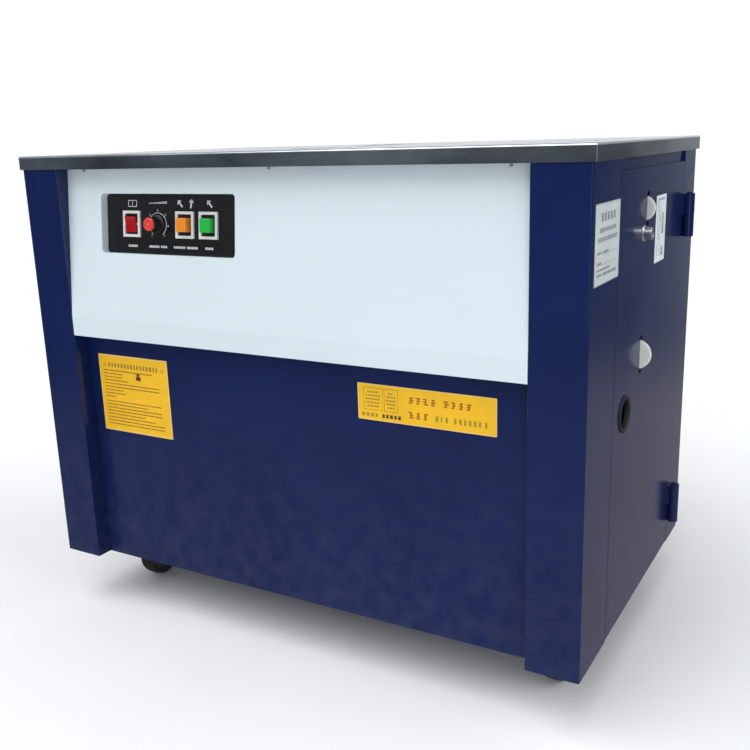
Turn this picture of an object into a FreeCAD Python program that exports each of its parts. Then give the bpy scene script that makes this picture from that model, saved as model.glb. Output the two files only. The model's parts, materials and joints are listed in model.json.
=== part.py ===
"""Semi automatic strapping machine: cabinet on casters, table, strap reel, drive and sealing head.

Frame: X to the right, Y to the back, Z up; the origin is on the floor under the middle of the cabinet.
"""
import FreeCAD
import Part
import Sketcher
import math
import os
import re

V = FreeCAD.Vector
Rotation = FreeCAD.Rotation
document = FreeCAD.newDocument("strapping_machine")
sheet = document.addObject("Spreadsheet::Sheet", "dims")

# Driving dimensions, in millimetres and degrees.
DIMS = {
    # Overall.
    "wide": 895, "deep": 540, "tall": 735, "ground": 88,
    "side_inset": 4.5, "wall": 1.5, "gap": 0.3, "seam": 1,
    # Table.
    "table_sheet": 2, "skirt": 20, "lid_margin_x": 50, "lid_margin_y": 45, "ledge": 10,
    "strip_half": 60, "barrel_r": 2, "hinge_pin_r": 1, "run_gap": 0.05, "edge_r": 3,
    # Corner posts.
    "post_wide": 71, "post_deep": 110, "post_return": 27.5, "rear_post_deep": 76, "lip": 12,
    # Front panels.
    "panel_back": 26, "lower_top": 478, "fold_z": 493, "lip_z": 463, "upper_top": 714, "lean": 23,
    "recess_left": -303.5, "recess_right": -54, "recess_low": 100.5, "recess_high": 187, "recess_deep": 11,
    "plate_sheet": 2, "plate_rim": 3, "recess_corner": 6,
    # Controls, along the leaning panel.
    "control_z": 143.7, "rocker_x": -253, "knob_x": -204, "reset_x": -152, "feed_x": -109,
    "bezel_wide": 33, "bezel_tall": 38, "bezel_frame": 4, "bezel_proud": 3,
    "button_wide": 18.5, "button_tall": 20, "button_proud": 11, "button_back": 14,
    "rocker_wide": 20, "rocker_tall": 23, "rocker_proud": 5.5, "rocker_dip": 1.5, "rocker_back": 4,
    "rocker_tilt": 9, "pivot_r": 1.2, "pivot_out": 1.5,
    "knob_skirt_r": 14, "knob_r": 10, "knob_proud": 21, "knob_shaft_r": 3,
    # Doors and their hinges.
    "door_low": 90, "door_high": 699, "barrel_out": 8, "knuckle_r": 7.7, "door_pin_r": 4, "hinge_behind": 6,
    "low_hinge_z": 125, "high_hinge_z": 588, "hinge_tall": 64,
    # Door locks.
    "lock_y": -38, "lock_z": 616, "lock_r": 8, "plug_r": 5.5, "lock_proud": 11, "tongue_long": 127,
    "tongue_wide": 16, "tongue_thick": 3, "lock_inside": 13,
    # Tension wheels in the right door.
    "low_wheel_y": -29, "low_wheel_z": 453, "low_wheel_r": 20, "low_wheel_out": 14,
    "high_wheel_y": -22, "high_wheel_z": 647, "high_wheel_r": 16.5, "high_wheel_out": 9.6,
    "wheel_thick": 6, "slot_wide": 11, "slot_spare": 7, "spindle_r": 4, "ear": 3, "ear_tall": 10,
    # Strap inlet in the right door.
    "inlet_y": -104, "inlet_z": 390, "inlet_r": 25, "inlet_bore": 19, "inlet_rim": 2.5,
    # Casters.
    "caster_x": 372, "caster_y": 158, "caster_trail": 30, "tyre_r": 37.5, "tyre_wide": 28, "tread_r": 5,
    "hub_r": 11, "axle_r": 5, "caster_plate_x": 95, "caster_plate_y": 66, "caster_plate": 3,
    "bolt_x": 74, "bolt_y": 46, "bolt_r": 4, "swivel_r": 22, "fork_gap": 2, "fork_sheet": 2.5,
    # Base tray and top rails.
    "tray_x": 428, "tray_tall": 30, "tray_wall": 3, "rail": 17, "rail_tall": 25,
    # Sealing head, hung from the front and rear rails.
    "cheek_x": 60, "cheek": 10, "cheek_tall": 108, "bulkhead_y": 95, "cam_z": 640, "cam_shaft_r": 10,
    "cam_r": 22, "cam_throw": 3, "cam_wide": 12, "block_wide": 14, "block_long": 24, "block_pitch": 35,
    "block_top": 724, "block_tall": 58, "block_gap": 0.3, "window_x": 14, "window_y": 55, "slide_travel": 25,
    "heater_x": 34, "heater_y": 74, "heater_z": 731, "heater_thick": 1, "heater_post_r": 4,
    # Feed rollers.
    "feed_y": 174, "feed_z": 684, "feed_r": 22, "pinch_r": 12, "roller_wide": 20, "roller_shaft_r": 6,
    # Drive.
    "motor_x": 170, "motor_z": 180, "motor_r": 65, "motor_long": 190, "motor_pulley_r": 28,
    "gearbox_low": 590, "gearbox_high": 656, "gearbox_half": 58, "gearbox_front": 100, "gearbox_back": 195,
    "drive_pulley_r": 56, "drive_z": 612, "pulley_y": 210, "pulley_wide": 15, "belt_wide": 10, "belt_thick": 8,
    "groove": 6, "drive_shaft_r": 8,
    # Strap reel in the left half.
    "reel_out": -405, "reel_wide": 186, "reel_z": 340, "reel_r": 200, "core_r": 100, "flange": 4,
    "reel_hub_r": 26, "reel_shaft_r": 12, "stand_wide": 80, "stand": 12, "brake_y": 150, "brake_z": 140,
    "brake_pin_r": 6,
    # Strap pool, electric box, power inlet and fasteners.
    "pool_x": 275, "pool_wide": 130, "pool_deep": 330, "pool_low": 250, "pool_high": 520,
    "box_x": -190, "box_wide": 110, "box_deep": 150, "box_low": 560, "box_high": 690,
    "inlet_box_x": 250, "inlet_box_z": 180, "screw_r": 4, "screw_tall": 2.5,
    "skirt_screw_r": 0.9, "skirt_screw_x": 18.5, "skirt_screw_pitch": 331.5,
}
for row, (alias, value) in enumerate(DIMS.items(), 1):
    sheet.set(f"A{row}", alias)
    sheet.set(f"B{row}", str(value))
    sheet.setAlias(f"B{row}", alias)
document.recompute()

ALIAS = re.compile(r"\b(" + "|".join(sorted(DIMS, key=len, reverse=True)) + r")\b")

# Places that several pieces share, as formulas on the sheet's cells.
SIDE = "(wide/2 - side_inset)"
SIDE_IN = "(wide/2 - side_inset - wall)"
FRONT = "(deep/2 - table_sheet)"
POST_IN = "(wide/2 - side_inset - post_wide)"
PANEL_Y = "(deep/2 - table_sheet - panel_back)"
UNDER = "(tall - table_sheet)"
RAIL_TOP = "(tall - 2*table_sheet)"
RAIL_LOW = "(tall - 2*table_sheet - rail_tall)"
TRAY_Y = "(deep/2 - table_sheet - panel_back - wall)"
OPEN_X = "(wide/2 - lid_margin_x)"
OPEN_Y = "(deep/2 - lid_margin_y)"
DOOR_FRONT = "(deep/2 - table_sheet - post_deep - seam)"
DOOR_BACK = "(deep/2 - table_sheet - rear_post_deep - seam)"
HINGE_X = "(wide/2 - side_inset + barrel_out)"
HINGE_Y = "(deep/2 - table_sheet - rear_post_deep - seam + hinge_behind)"
LEAN_ANGLE = "atan(lean / (upper_top - fold_z))"
LEAN_LONG = "sqrt(lean^2 + (upper_top - fold_z)^2)"
nodes = []


def cell(text):
    """A formula with each alias written as the sheet's cell."""
    return ALIAS.sub(r"dims.\1", str(text))


def number(text):
    """The value of a formula on the sheet's cells."""
    found = sheet.evalExpression(cell(text))
    return float(getattr(found, "Value", found))


def place(item, base=(0, 0, 0), axis=None, angle=None):
    """Puts an object at a base point, turned about an axis; all of them may be formulas."""
    spin = Rotation(V(*axis), number(angle)) if axis else Rotation()
    item.Placement = FreeCAD.Placement(V(*[number(part) for part in base]), spin)
    for letter, part in zip("xyz", base):
        item.setExpression(f"Placement.Base.{letter}", cell(part))
    return item


def keep(item, label):
    """Names a finished sub-part, which its file then takes as its name."""
    item.Label = label
    nodes.append(item)
    return item


def box(spans):
    """A block between pairs of formulas along X, Y and Z."""
    item = document.addObject("Part::Box", "block")
    for side, (one, two) in zip(("Length", "Width", "Height"), spans):
        item.setExpression(side, cell(f"abs(({two}) - ({one}))"))
    return place(item, [f"min({one}; {two})" for one, two in spans])


AXES = {"X": ((0, 1, 0), 90), "Y": ((1, 0, 0), -90), "Z": (None, None)}


def rod(along, centre, start, end, radius):
    """A cylinder along X, Y or Z; centre holds the other two coordinates in order."""
    item = document.addObject("Part::Cylinder", "rod")
    item.setExpression("Radius", cell(radius))
    item.setExpression("Height", cell(f"abs(({end}) - ({start}))"))
    base = list(centre)
    base.insert("XYZ".index(along), f"min({start}; {end})")
    axis, angle = AXES[along]
    return place(item, base, axis, angle)


def fuse(*items):
    """One solid from several that touch."""
    item = document.addObject("Part::MultiFuse", "joined")
    item.Shapes = list(items)
    item.Refine = True
    return item


def cut(base, *tools):
    """The base without the tools."""
    item = document.addObject("Part::Cut", "cut")
    item.Base = base
    item.Tool = tools[0] if len(tools) == 1 else fuse(*tools)
    item.Refine = True
    return item


def group(*items):
    """Separate solids kept in one sub-part."""
    item = document.addObject("Part::Compound", "group")
    item.Links = list(items)
    return item


def turn(item, base, axis, angle):
    """Wraps an object so that it can be placed again as a whole."""
    wrapped = document.addObject("Part::Compound", "placed")
    wrapped.Links = [item]
    return place(wrapped, base, axis, angle)


def tube(along, centre, start, end, outer, inner):
    """A ring or bush between two stations."""
    return cut(rod(along, centre, start, end, outer), rod(along, centre, f"{start} - 1", f"{end} + 1", inner))


def plane(body, role):
    """One of a body's own origin planes."""
    return next(item for item in body.Origin.OriginFeatures if item.Role == role)


def sketch(body, role, offset="0"):
    """A sketch on a body's origin plane, moved along its normal."""
    item = body.newObject("Sketcher::SketchObject", "sketch")
    item.AttachmentSupport = [(plane(body, role), "")]
    item.MapMode = "FlatFace"
    item.setExpression("AttachmentOffset.Base.z", cell(offset))
    return item


def outline(item, points):
    """A closed polygon in a sketch, each corner held by its two formulas."""
    corners = [V(number(across), number(up), 0) for across, up in points]
    first = item.GeometryCount
    count = len(corners)
    item.addGeometry([Part.LineSegment(corners[i], corners[(i + 1) % count]) for i in range(count)], False)
    for i in range(count):
        item.addConstraint(Sketcher.Constraint("Coincident", first + i, 2, first + (i + 1) % count, 1))
    for i, (across, up) in enumerate(points):
        for kind, text, size in (("DistanceX", across, corners[i].x), ("DistanceY", up, corners[i].y)):
            index = item.addConstraint(Sketcher.Constraint(kind, -1, 1, first + i, 1, size))
            item.setExpression(f"Constraints[{index}]", cell(text))


def rectangle(low, high, left, right):
    """The corners of a rectangle, from formulas."""
    return [(left, low), (right, low), (right, high), (left, high)]


def ring(item, across, up, radius):
    """A circle in a sketch, held by formulas."""
    index = item.addGeometry(Part.Circle(V(number(across), number(up), 0), V(0, 0, 1), number(radius)), False)
    held = (
        (Sketcher.Constraint("Radius", index, number(radius)), radius),
        (Sketcher.Constraint("DistanceX", -1, 1, index, 3, number(across)), across),
        (Sketcher.Constraint("DistanceY", -1, 1, index, 3, number(up)), up),
    )
    for constraint, text in held:
        slot = item.addConstraint(constraint)
        item.setExpression(f"Constraints[{slot}]", cell(text))


def pad(body, role, start, thick, points):
    """A prism from a polygon; start is where it begins against its plane's normal side."""
    flat = sketch(body, role, start)
    outline(flat, points)
    item = body.newObject("PartDesign::Pad", "pad")
    item.Profile = flat
    item.setExpression("Length", cell(thick))
    document.recompute()
    return item


def pocket(body, role, middle, thick, draw):
    """A cut of a set depth about a plane; draw puts its outline into the sketch."""
    flat = sketch(body, role, middle)
    draw(flat)
    item = body.newObject("PartDesign::Pocket", "pocket")
    item.Profile = flat
    item.Type = 0
    item.Midplane = True
    item.setExpression("Length", cell(thick))
    document.recompute()
    return item


def lathe(points):
    """A body turned about its own Z axis from a profile of radius and height."""
    body = document.addObject("PartDesign::Body", "turned")
    flat = sketch(body, "XZ_Plane")
    outline(flat, points)
    item = body.newObject("PartDesign::Revolution", "revolution")
    item.Profile = flat
    item.ReferenceAxis = (flat, ["V_Axis"])
    item.Angle = 360
    document.recompute()
    return body


# ---------------------------------------------------------------- cabinet

def post(end, side, deep_of_side):
    """A folded corner post: front or rear flange, side flange, two returns."""
    x_out = f"{side}*{SIDE}"
    x_in = f"{side}*{POST_IN}"
    y_out = f"{end}*{FRONT}"
    y_far = f"{end}*({FRONT} - {deep_of_side})"
    y_return = f"{end}*({FRONT} - post_return)"
    inner = f"{end}*({FRONT} - wall)"
    corners = [
        (x_in, y_out), (x_out, y_out), (x_out, y_far),
        (f"{side}*({SIDE} - lip)", y_far),
        (f"{side}*({SIDE} - lip)", f"{end}*({FRONT} - {deep_of_side} + wall)"),
        (f"{side}*{SIDE_IN}", f"{end}*({FRONT} - {deep_of_side} + wall)"),
        (f"{side}*{SIDE_IN}", inner),
        (f"{side}*({POST_IN} + wall)", inner),
        (f"{side}*({POST_IN} + wall)", y_return),
        (x_in, y_return),
    ]
    body = document.addObject("PartDesign::Body", "post")
    pad(body, "XY_Plane", "ground", f"{UNDER} - ground", corners)
    return body


def posts():
    """The pair of front posts and the pair of rear posts."""
    for label, end, reach in (("front_posts", "-1", "post_deep"), ("rear_posts", "1", "rear_post_deep")):
        keep(group(*[post(end, side, reach) for side in ("1", "-1")]), label)


def base_frame():
    """The tray that ties the posts together and carries the casters, with a pad out to each post."""
    y_out = TRAY_Y
    tray = box((("-tray_x", "tray_x"), (f"-{y_out}", y_out), ("ground", "ground + tray_tall")))
    hollow = box((("-tray_x + tray_wall", "tray_x - tray_wall"),
                  (f"-{y_out} + tray_wall", f"{y_out} - tray_wall"),
                  ("ground + tray_wall", "ground + tray_tall + 1")))
    pads = []
    for side in ("1", "-1"):
        for end, reach in (("-1", "post_deep"), ("1", "rear_post_deep")):
            pads.append(box((
                (f"{side}*(tray_x - 1)", f"{side}*{SIDE_IN}"),
                (f"{end}*({FRONT} - post_return - 1)", f"{end}*({FRONT} - {reach} + wall + gap)"),
                ("ground", "ground + tray_tall"))))
    holes = [rod("Z", (f"{sx}*caster_x + {bx}*bolt_x/2", f"{sy}*caster_y + {by}*bolt_y/2"),
                 "ground - 1", "ground + tray_wall + 1", "bolt_r + gap")
             for sx in (1, -1) for sy in (1, -1) for bx in (1, -1) for by in (1, -1)]
    keep(cut(fuse(cut(tray, hollow), *pads), *holes), "base_frame")


def top_rails():
    """The welded ring of rails under the table."""
    low, high = RAIL_LOW, RAIL_TOP
    y_out = f"({FRONT} - post_return - gap)"
    long_rails = [box(((f"-{SIDE_IN} + lip + gap", f"{SIDE_IN} - lip - gap"),
                       (f"{end}*{y_out}", f"{end}*({y_out} - rail + wall)"), (low, high)))
                  for end in (1, -1)]
    side_rails = [box(((f"{side}*({SIDE_IN} - lip - gap)", f"{side}*({SIDE_IN} - lip - gap - rail)"),
                       (f"-{y_out}", y_out), (low, high)))
                  for side in (1, -1)]
    covers = [box(((f"{side}*({SIDE_IN} - lip - gap - 1)", f"{side}*({SIDE_IN} - wall)"),
                   (f"-{DOOR_FRONT}", DOOR_BACK), (f"{low} + wall", high)))
              for side in (1, -1)]
    keep(fuse(*long_rails, *side_rails, *covers), "top_rails")


def lower_front_panel():
    """The flat panel set back between the front posts."""
    body = document.addObject("PartDesign::Body", "lower_front_panel")
    pad(body, "XZ_Plane", f"{PANEL_Y} - wall", "wall",
        rectangle("ground", "lower_top", f"-{POST_IN} + gap", f"{POST_IN} - gap"))
    keep(body, "lower_front_panel")


def leaning(item):
    """Leans a piece that was made upright, foot at the fold of the upper panel."""
    wrapped = document.addObject("Part::Compound", "leaning")
    wrapped.Links = [item]
    place(wrapped, ("0", f"-{FRONT}", "fold_z"), (-1, 0, 0), LEAN_ANGLE)
    wrapped.setExpression("Placement.Rotation.Angle", cell(LEAN_ANGLE))
    return wrapped


def rounded_pad(start, long, rim):
    """A block with rounded corners over the control recess, larger than it by a rim."""
    body = document.addObject("PartDesign::Body", "recess_block")
    pad(body, "XZ_Plane", start, long,
        rectangle(f"recess_low - {rim}", f"recess_high + {rim}", f"recess_left - {rim}", f"recess_right + {rim}"))
    tip = body.Tip
    rounded = body.newObject("PartDesign::Fillet", "corners")
    edges = [f"Edge{i + 1}" for i, edge in enumerate(tip.Shape.Edges)
             if abs(abs(edge.tangentAt(edge.FirstParameter).y) - 1) < 1e-6]
    rounded.Base = (tip, edges)
    rounded.setExpression("Radius", cell("recess_corner"))
    document.recompute()
    return body


def upper_front_panel():
    """The leaning panel with its lip, bottom return and the walled control recess."""
    half = f"({POST_IN} - gap)"
    face = box(((f"-{half}", half), ("0", "wall"), ("-wall", LEAN_LONG)))
    walls = box((("recess_left - wall", "recess_right + wall"), ("0", "wall + recess_deep"),
                 ("recess_low - wall", "recess_high + wall")))
    throat = rounded_pad("-wall - recess_deep - 1", "wall + recess_deep + 2", "0")
    lean = cut(fuse(face, walls), throat)
    lip = box(((f"-{half}", half), (f"-{FRONT}", f"-{FRONT} + wall"), ("lip_z", "fold_z")))
    under = box(((f"-{half}", half), (f"-{FRONT}", f"-{PANEL_Y} - gap"), ("lip_z", "lip_z + wall")))
    keep(fuse(leaning(lean), lip, under), "upper_front_panel")


CONTROL_FACE = "(wall + recess_deep)"
PIVOT_Y = "(wall + recess_deep - pivot_out)"


def control_plate():
    """The rounded plate that closes the recess, with an opening behind each control."""
    body = rounded_pad(f"-{CONTROL_FACE} - plate_sheet", "plate_sheet", "plate_rim")

    def openings(flat):
        for across, kind in (("rocker_x", "rocker"), ("reset_x", "button"), ("feed_x", "button")):
            outline(flat, rectangle(f"control_z - {kind}_tall/2 - gap", f"control_z + {kind}_tall/2 + gap",
                                    f"{across} - {kind}_wide/2 - gap", f"{across} + {kind}_wide/2 + gap"))
        ring(flat, "knob_x", "control_z", "knob_shaft_r + run_gap")
    pocket(body, "XZ_Plane", f"-{CONTROL_FACE}", "plate_sheet*4", openings)
    keep(leaning(body), "control_plate")


def bezels():
    """The three frames around the rocker and the two buttons; the rocker's holds its pivot."""
    frames = []
    for across in ("rocker_x", "reset_x", "feed_x"):
        outer = box(((f"{across} - bezel_wide/2", f"{across} + bezel_wide/2"),
                     (f"{CONTROL_FACE} - bezel_proud", CONTROL_FACE),
                     ("control_z - bezel_tall/2", "control_z + bezel_tall/2")))
        inner = box(((f"{across} - bezel_wide/2 + bezel_frame", f"{across} + bezel_wide/2 - bezel_frame"),
                     (f"{CONTROL_FACE} - bezel_proud - 1", f"{CONTROL_FACE} + 1"),
                     ("control_z - bezel_tall/2 + bezel_frame", "control_z + bezel_tall/2 - bezel_frame")))
        frames.append(cut(outer, inner))
    pivot = rod("X", (PIVOT_Y, "control_z"), "rocker_x - bezel_wide/2 + bezel_frame/2",
                "rocker_x + bezel_wide/2 - bezel_frame/2", "pivot_r")
    frames[0] = fuse(frames[0], pivot)
    keep(leaning(group(*frames)), "button_bezels")


def button(label, across):
    """A push button: a block that slides through the plate inside its bezel."""
    item = box(((f"{across} - button_wide/2", f"{across} + button_wide/2"),
                (f"{CONTROL_FACE} - button_proud", f"{CONTROL_FACE} + button_back"),
                ("control_z - button_tall/2", "control_z + button_tall/2")))
    keep(leaning(item), label)


def power_rocker():
    """The rocker on its pivot, drawn with its lower half pressed in."""
    reach = "(rocker_tall/2)"
    front, back = "(pivot_out - rocker_proud)", "(pivot_out + rocker_back)"
    body = document.addObject("PartDesign::Body", "rocker")
    pad(body, "YZ_Plane", "-rocker_wide/2", "rocker_wide",
        [(front, f"-{reach}"), (f"{front} + rocker_dip", "0"), (front, reach),
         (back, f"{reach} - 2"), (back, f"-{reach} + 2")])
    pocket(body, "YZ_Plane", "0", "rocker_wide*2", lambda flat: ring(flat, "0", "0", "pivot_r + run_gap"))
    tilted = turn(body, ("rocker_x", PIVOT_Y, "control_z"), (1, 0, 0), "rocker_tilt")
    tilted.setExpression("Placement.Rotation.Angle", cell("rocker_tilt"))
    keep(leaning(tilted), "power_rocker")


def length_knob():
    """The strap length knob: skirt, grip and the spindle through the plate."""
    body = lathe([("0", "-8"), ("knob_shaft_r", "-8"), ("knob_shaft_r", "gap"), ("knob_skirt_r", "gap"),
                  ("knob_skirt_r", "3"), ("knob_r + 1", "4.5"), ("knob_r", "knob_proud - 1.5"),
                  ("knob_r - 1.5", "knob_proud"), ("0", "knob_proud")])
    placed = turn(body, ("knob_x", CONTROL_FACE, "control_z"), (1, 0, 0), "90")
    keep(leaning(placed), "length_knob")


def rear_panel():
    """The back sheet, with rows of cooling slots and the hole of the power inlet."""
    body = document.addObject("PartDesign::Body", "rear_panel")
    pad(body, "XZ_Plane", f"-{PANEL_Y}", "wall",
        rectangle("ground", "upper_top", f"-{POST_IN} + gap", f"{POST_IN} - gap"))

    def slots(flat):
        for across in (-260, -200, -140):
            for up in range(6):
                low = 560 + 18 * up
                outline(flat, rectangle(f"{low}", f"{low + 6}", f"{across}", f"{across + 44}"))
        outline(flat, rectangle("inlet_box_z - 12", "inlet_box_z + 12",
                                "inlet_box_x - 16", "inlet_box_x + 16"))
    pocket(body, "XZ_Plane", f"-{PANEL_Y}", "wall*4", slots)
    keep(body, "rear_panel")


def power_inlet():
    """The appliance inlet: flange and open socket through the panel."""
    flange = box((("inlet_box_x - 20", "inlet_box_x + 20"), (PANEL_Y, f"{PANEL_Y} + 3"),
                  ("inlet_box_z - 16", "inlet_box_z + 16")))
    shell = box((("inlet_box_x - 15", "inlet_box_x + 15"), (f"{PANEL_Y} - 22", f"{PANEL_Y} + 1"),
                 ("inlet_box_z - 11", "inlet_box_z + 11")))
    socket = box((("inlet_box_x - 12", "inlet_box_x + 12"), (f"{PANEL_Y} - 16", f"{PANEL_Y} + 4"),
                  ("inlet_box_z - 8", "inlet_box_z + 8")))
    keep(cut(fuse(flange, shell), socket), "power_inlet")


# ---------------------------------------------------------------- table

KNUCKLES = 11


def knuckle_span(index):
    """The stretch along Y of one piano hinge knuckle."""
    pitch = f"(2*{OPEN_Y} - 2*seam)/{KNUCKLES}"
    start = f"(-{OPEN_Y} + seam + {index}*{pitch} + gap/2)"
    return start, f"({start} + {pitch} - gap)"


def hinge_line(side):
    """Where a lid's hinge axis lies along X."""
    return f"({side}*({OPEN_X} - barrel_r - seam))"


def knuckle(side, index, tab_to):
    """A knuckle with its tab, bored for the pin."""
    start, end = knuckle_span(index)
    line = hinge_line(side)
    centre = (line, UNDER)
    tab = box(((line, tab_to), (start, end), (UNDER, "tall")))
    solid = fuse(rod("Y", centre, start, end, "barrel_r"), tab)
    return cut(solid, rod("Y", centre, f"{start} - 1", f"{end} + 1", "hinge_pin_r + run_gap"))


def table_top():
    """The folded table: sheet with skirt, the lids' opening, its two ledges and fixed knuckles."""
    outer = box((("-wide/2", "wide/2"), ("-deep/2", "deep/2"), ("tall - skirt", "tall")))
    rounded = document.addObject("Part::Fillet", "rounded")
    rounded.Base = outer
    document.recompute()
    radius = number("edge_r")
    rounded.Edges = [(i + 1, radius, radius) for i, edge in enumerate(outer.Shape.Edges)
                     if edge.CenterOfMass.z > number("tall") - 0.01]
    hollow = box((("-wide/2 + table_sheet", "wide/2 - table_sheet"),
                  ("-deep/2 + table_sheet", "deep/2 - table_sheet"),
                  ("tall - skirt - 1", UNDER)))
    opening = box(((f"-{OPEN_X}", OPEN_X), (f"-{OPEN_Y}", OPEN_Y), (f"{UNDER} - 1", "tall + 1")))
    ledges = [box(((f"-{OPEN_X} + 8", f"{OPEN_X} - 8"),
                   (f"{end}*({OPEN_Y} + 4)", f"{end}*({OPEN_Y} - ledge)"),
                   (f"{UNDER} - table_sheet", UNDER)))
              for end in (1, -1)]
    fixed = [knuckle(side, index, f"{side}*({OPEN_X} + 1)")
             for side in (1, -1) for index in range(1, KNUCKLES, 2)]
    keep(fuse(cut(rounded, hollow, opening), *ledges, *fixed), "table_top")


def table_lid(label, side):
    """A table lid with its moving knuckles and a finger notch on the head side."""
    line = hinge_line(side)
    sheet_box = box(((f"{side}*(strip_half + seam)", f"{line} - {side}*(barrel_r + seam)"),
                     (f"-{OPEN_Y} + seam", f"{OPEN_Y} - seam"), (UNDER, "tall")))
    turned = [knuckle(side, index, f"{line} - {side}*(barrel_r + seam + 1)")
              for index in range(0, KNUCKLES, 2)]
    notch = rod("Z", (f"{side}*(strip_half + seam)", f"{OPEN_Y} - 60"), f"{UNDER} - 1", "tall + 1", "12")
    keep(cut(fuse(sheet_box, *turned), notch), label)


def lid_pins():
    """The two piano hinge pins of the lids."""
    return [rod("Y", (hinge_line(side), UNDER), f"-{OPEN_Y} + seam + gap", f"{OPEN_Y} - seam - gap",
                "hinge_pin_r") for side in (1, -1)]


def head_strip():
    """The centre strip of the table with the window of the sealing head and the strap slots."""
    strip = box((("-strip_half", "strip_half"), (f"-{OPEN_Y} + seam", f"{OPEN_Y} - seam"), (UNDER, "tall")))
    window = box((("-window_x", "window_x + slide_travel + 5"), ("-window_y", "window_y"),
                  (f"{UNDER} - 1", "tall + 1")))
    slots = [box((("-8", "8"), (f"{end}*(window_y + 14)", f"{end}*({OPEN_Y} - ledge - 22)"),
                  (f"{UNDER} - 1", "tall + 1"))) for end in (1, -1)]
    keep(cut(strip, window, *slots), "head_strip")


def slide_plate():
    """The plate that closes the head's window and draws aside to let the strap go."""
    plate = box((("-window_x + gap", "window_x + 3"), ("-window_y + gap", "window_y - gap"),
                 (UNDER, "tall")))
    keep(plate, "slide_plate")


# ---------------------------------------------------------------- doors

def door(label, side, piercings):
    """A folded side door with its hinge sleeves; piercings are cut through its sheet."""
    out, inn = f"{side}*{SIDE}", f"{side}*{SIDE_IN}"
    lip_in = f"{side}*({SIDE} - lip)"
    ys = (f"-{DOOR_FRONT}", DOOR_BACK)
    sheet_box = box(((inn, out), ys, ("door_low", "door_high")))
    folds = [
        box(((lip_in, out), (ys[0], f"{ys[0]} + wall"), ("door_low", "door_high"))),
        box(((lip_in, out), (f"{ys[1]} - wall", ys[1]), ("door_low", "door_high"))),
        box(((lip_in, out), ys, ("door_low", "door_low + wall"))),
        box(((lip_in, out), ys, ("door_high - wall", "door_high"))),
    ]
    sleeves = []
    for low in ("low_hinge_z", "high_hinge_z"):
        start, end = f"{low} + hinge_tall/2 + gap", f"{low} + hinge_tall"
        centre = (f"{side}*{HINGE_X}", HINGE_Y)
        web = box(((out, f"{side}*({HINGE_X} - door_pin_r - 1)"), (f"{HINGE_Y} - 14", f"{HINGE_Y} - 5"), (start, end)))
        sleeve = cut(fuse(rod("Z", centre, start, end, "knuckle_r"), web),
                     rod("Z", centre, f"{start} - 1", f"{end} + 1", "door_pin_r + run_gap"))
        sleeves.append(sleeve)
    lock_hole = rod("X", ("lock_y", "lock_z"), f"{side}*({SIDE} - 5)", f"{side}*({SIDE} + 5)", "lock_r - 1 + gap")
    keep(cut(fuse(sheet_box, *folds, *sleeves), lock_hole, *piercings), label)


def through_door(y_span, z_span):
    """A block that pierces the right door's sheet."""
    return box(((f"{SIDE} - 4", f"{SIDE} + 4"), y_span, z_span))


def doors():
    """The right door has the slots of the tension wheels and the strap inlet; the left door is plain."""
    slots = []
    for name in ("low", "high"):
        reach = f"({name}_wheel_r - {name}_wheel_out + slot_spare)"
        tall_half = f"(sqrt(({name}_wheel_r)^2 - ({name}_wheel_r - {name}_wheel_out)^2) + slot_spare)"
        slots.append(through_door((f"{name}_wheel_y - slot_wide/2", f"{name}_wheel_y + slot_wide/2"),
                                  (f"{name}_wheel_z - {tall_half}", f"{name}_wheel_z + {tall_half}")))
    inlet = rod("X", ("inlet_y", "inlet_z"), f"{SIDE} - 4", f"{SIDE} + 4", "inlet_r - 3")
    door("right_door", "1", [*slots, inlet])
    door("left_door", "-1", [])


def hinge_pins():
    """Four fixed lower knuckles, each with its pin, welded to the rear posts; and the lids' pins."""
    pieces = lid_pins()
    for side in ("1", "-1"):
        for low in ("low_hinge_z", "high_hinge_z"):
            centre = (f"{side}*{HINGE_X}", HINGE_Y)
            web = box(((f"{side}*{SIDE}", f"{side}*({HINGE_X} - 2)"), (f"{HINGE_Y} + 2", f"{HINGE_Y} + 14"),
                       (low, f"{low} + hinge_tall/2")))
            pieces.append(fuse(rod("Z", centre, low, f"{low} + hinge_tall/2", "knuckle_r"), web,
                               rod("Z", centre, low, f"{low} + hinge_tall + 2", "door_pin_r")))
    keep(group(*pieces), "hinge_pins")


def lock(label, side):
    """A cam lock: chromed housing with its nut, and the plug with the long tongue."""
    centre = ("lock_y", "lock_z")
    out, back = f"{side}*({SIDE} + lock_proud)", f"{side}*({SIDE} - lock_inside)"
    neck = f"{side}*{SIDE}"
    nut = f"{side}*{SIDE_IN}"
    shell = fuse(rod("X", centre, neck, out, "lock_r"), rod("X", centre, back, neck, "lock_r - 1"),
                 rod("X", centre, f"{side}*({SIDE_IN} - 4)", nut, "lock_r + 3"))
    bore = rod("X", centre, f"{side}*({SIDE} - lock_inside - 1)", f"{side}*({SIDE} + lock_proud + 1)",
               "plug_r + run_gap")
    keep(cut(shell, bore), f"{label}_lock_housing")
    start = f"({SIDE} - lock_inside - gap - tongue_thick)"
    plug = rod("X", centre, f"{side}*{start}", f"{side}*({SIDE} + lock_proud - 0.5)", "plug_r")
    tongue = box(((f"{side}*{start}", f"{side}*({start} + tongue_thick)"),
                  ("lock_y - tongue_wide/2", "lock_y + tongue_wide/2"),
                  ("lock_z - tongue_long", "lock_z + tongue_wide/2")))
    key = box(((f"{side}*({SIDE} + lock_proud - 6)", f"{side}*({SIDE} + lock_proud)"),
               ("lock_y - 0.8", "lock_y + 0.8"), ("lock_z - 4", "lock_z + 4")))
    keep(cut(fuse(plug, tongue), key), f"{label}_lock_plug")


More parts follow.
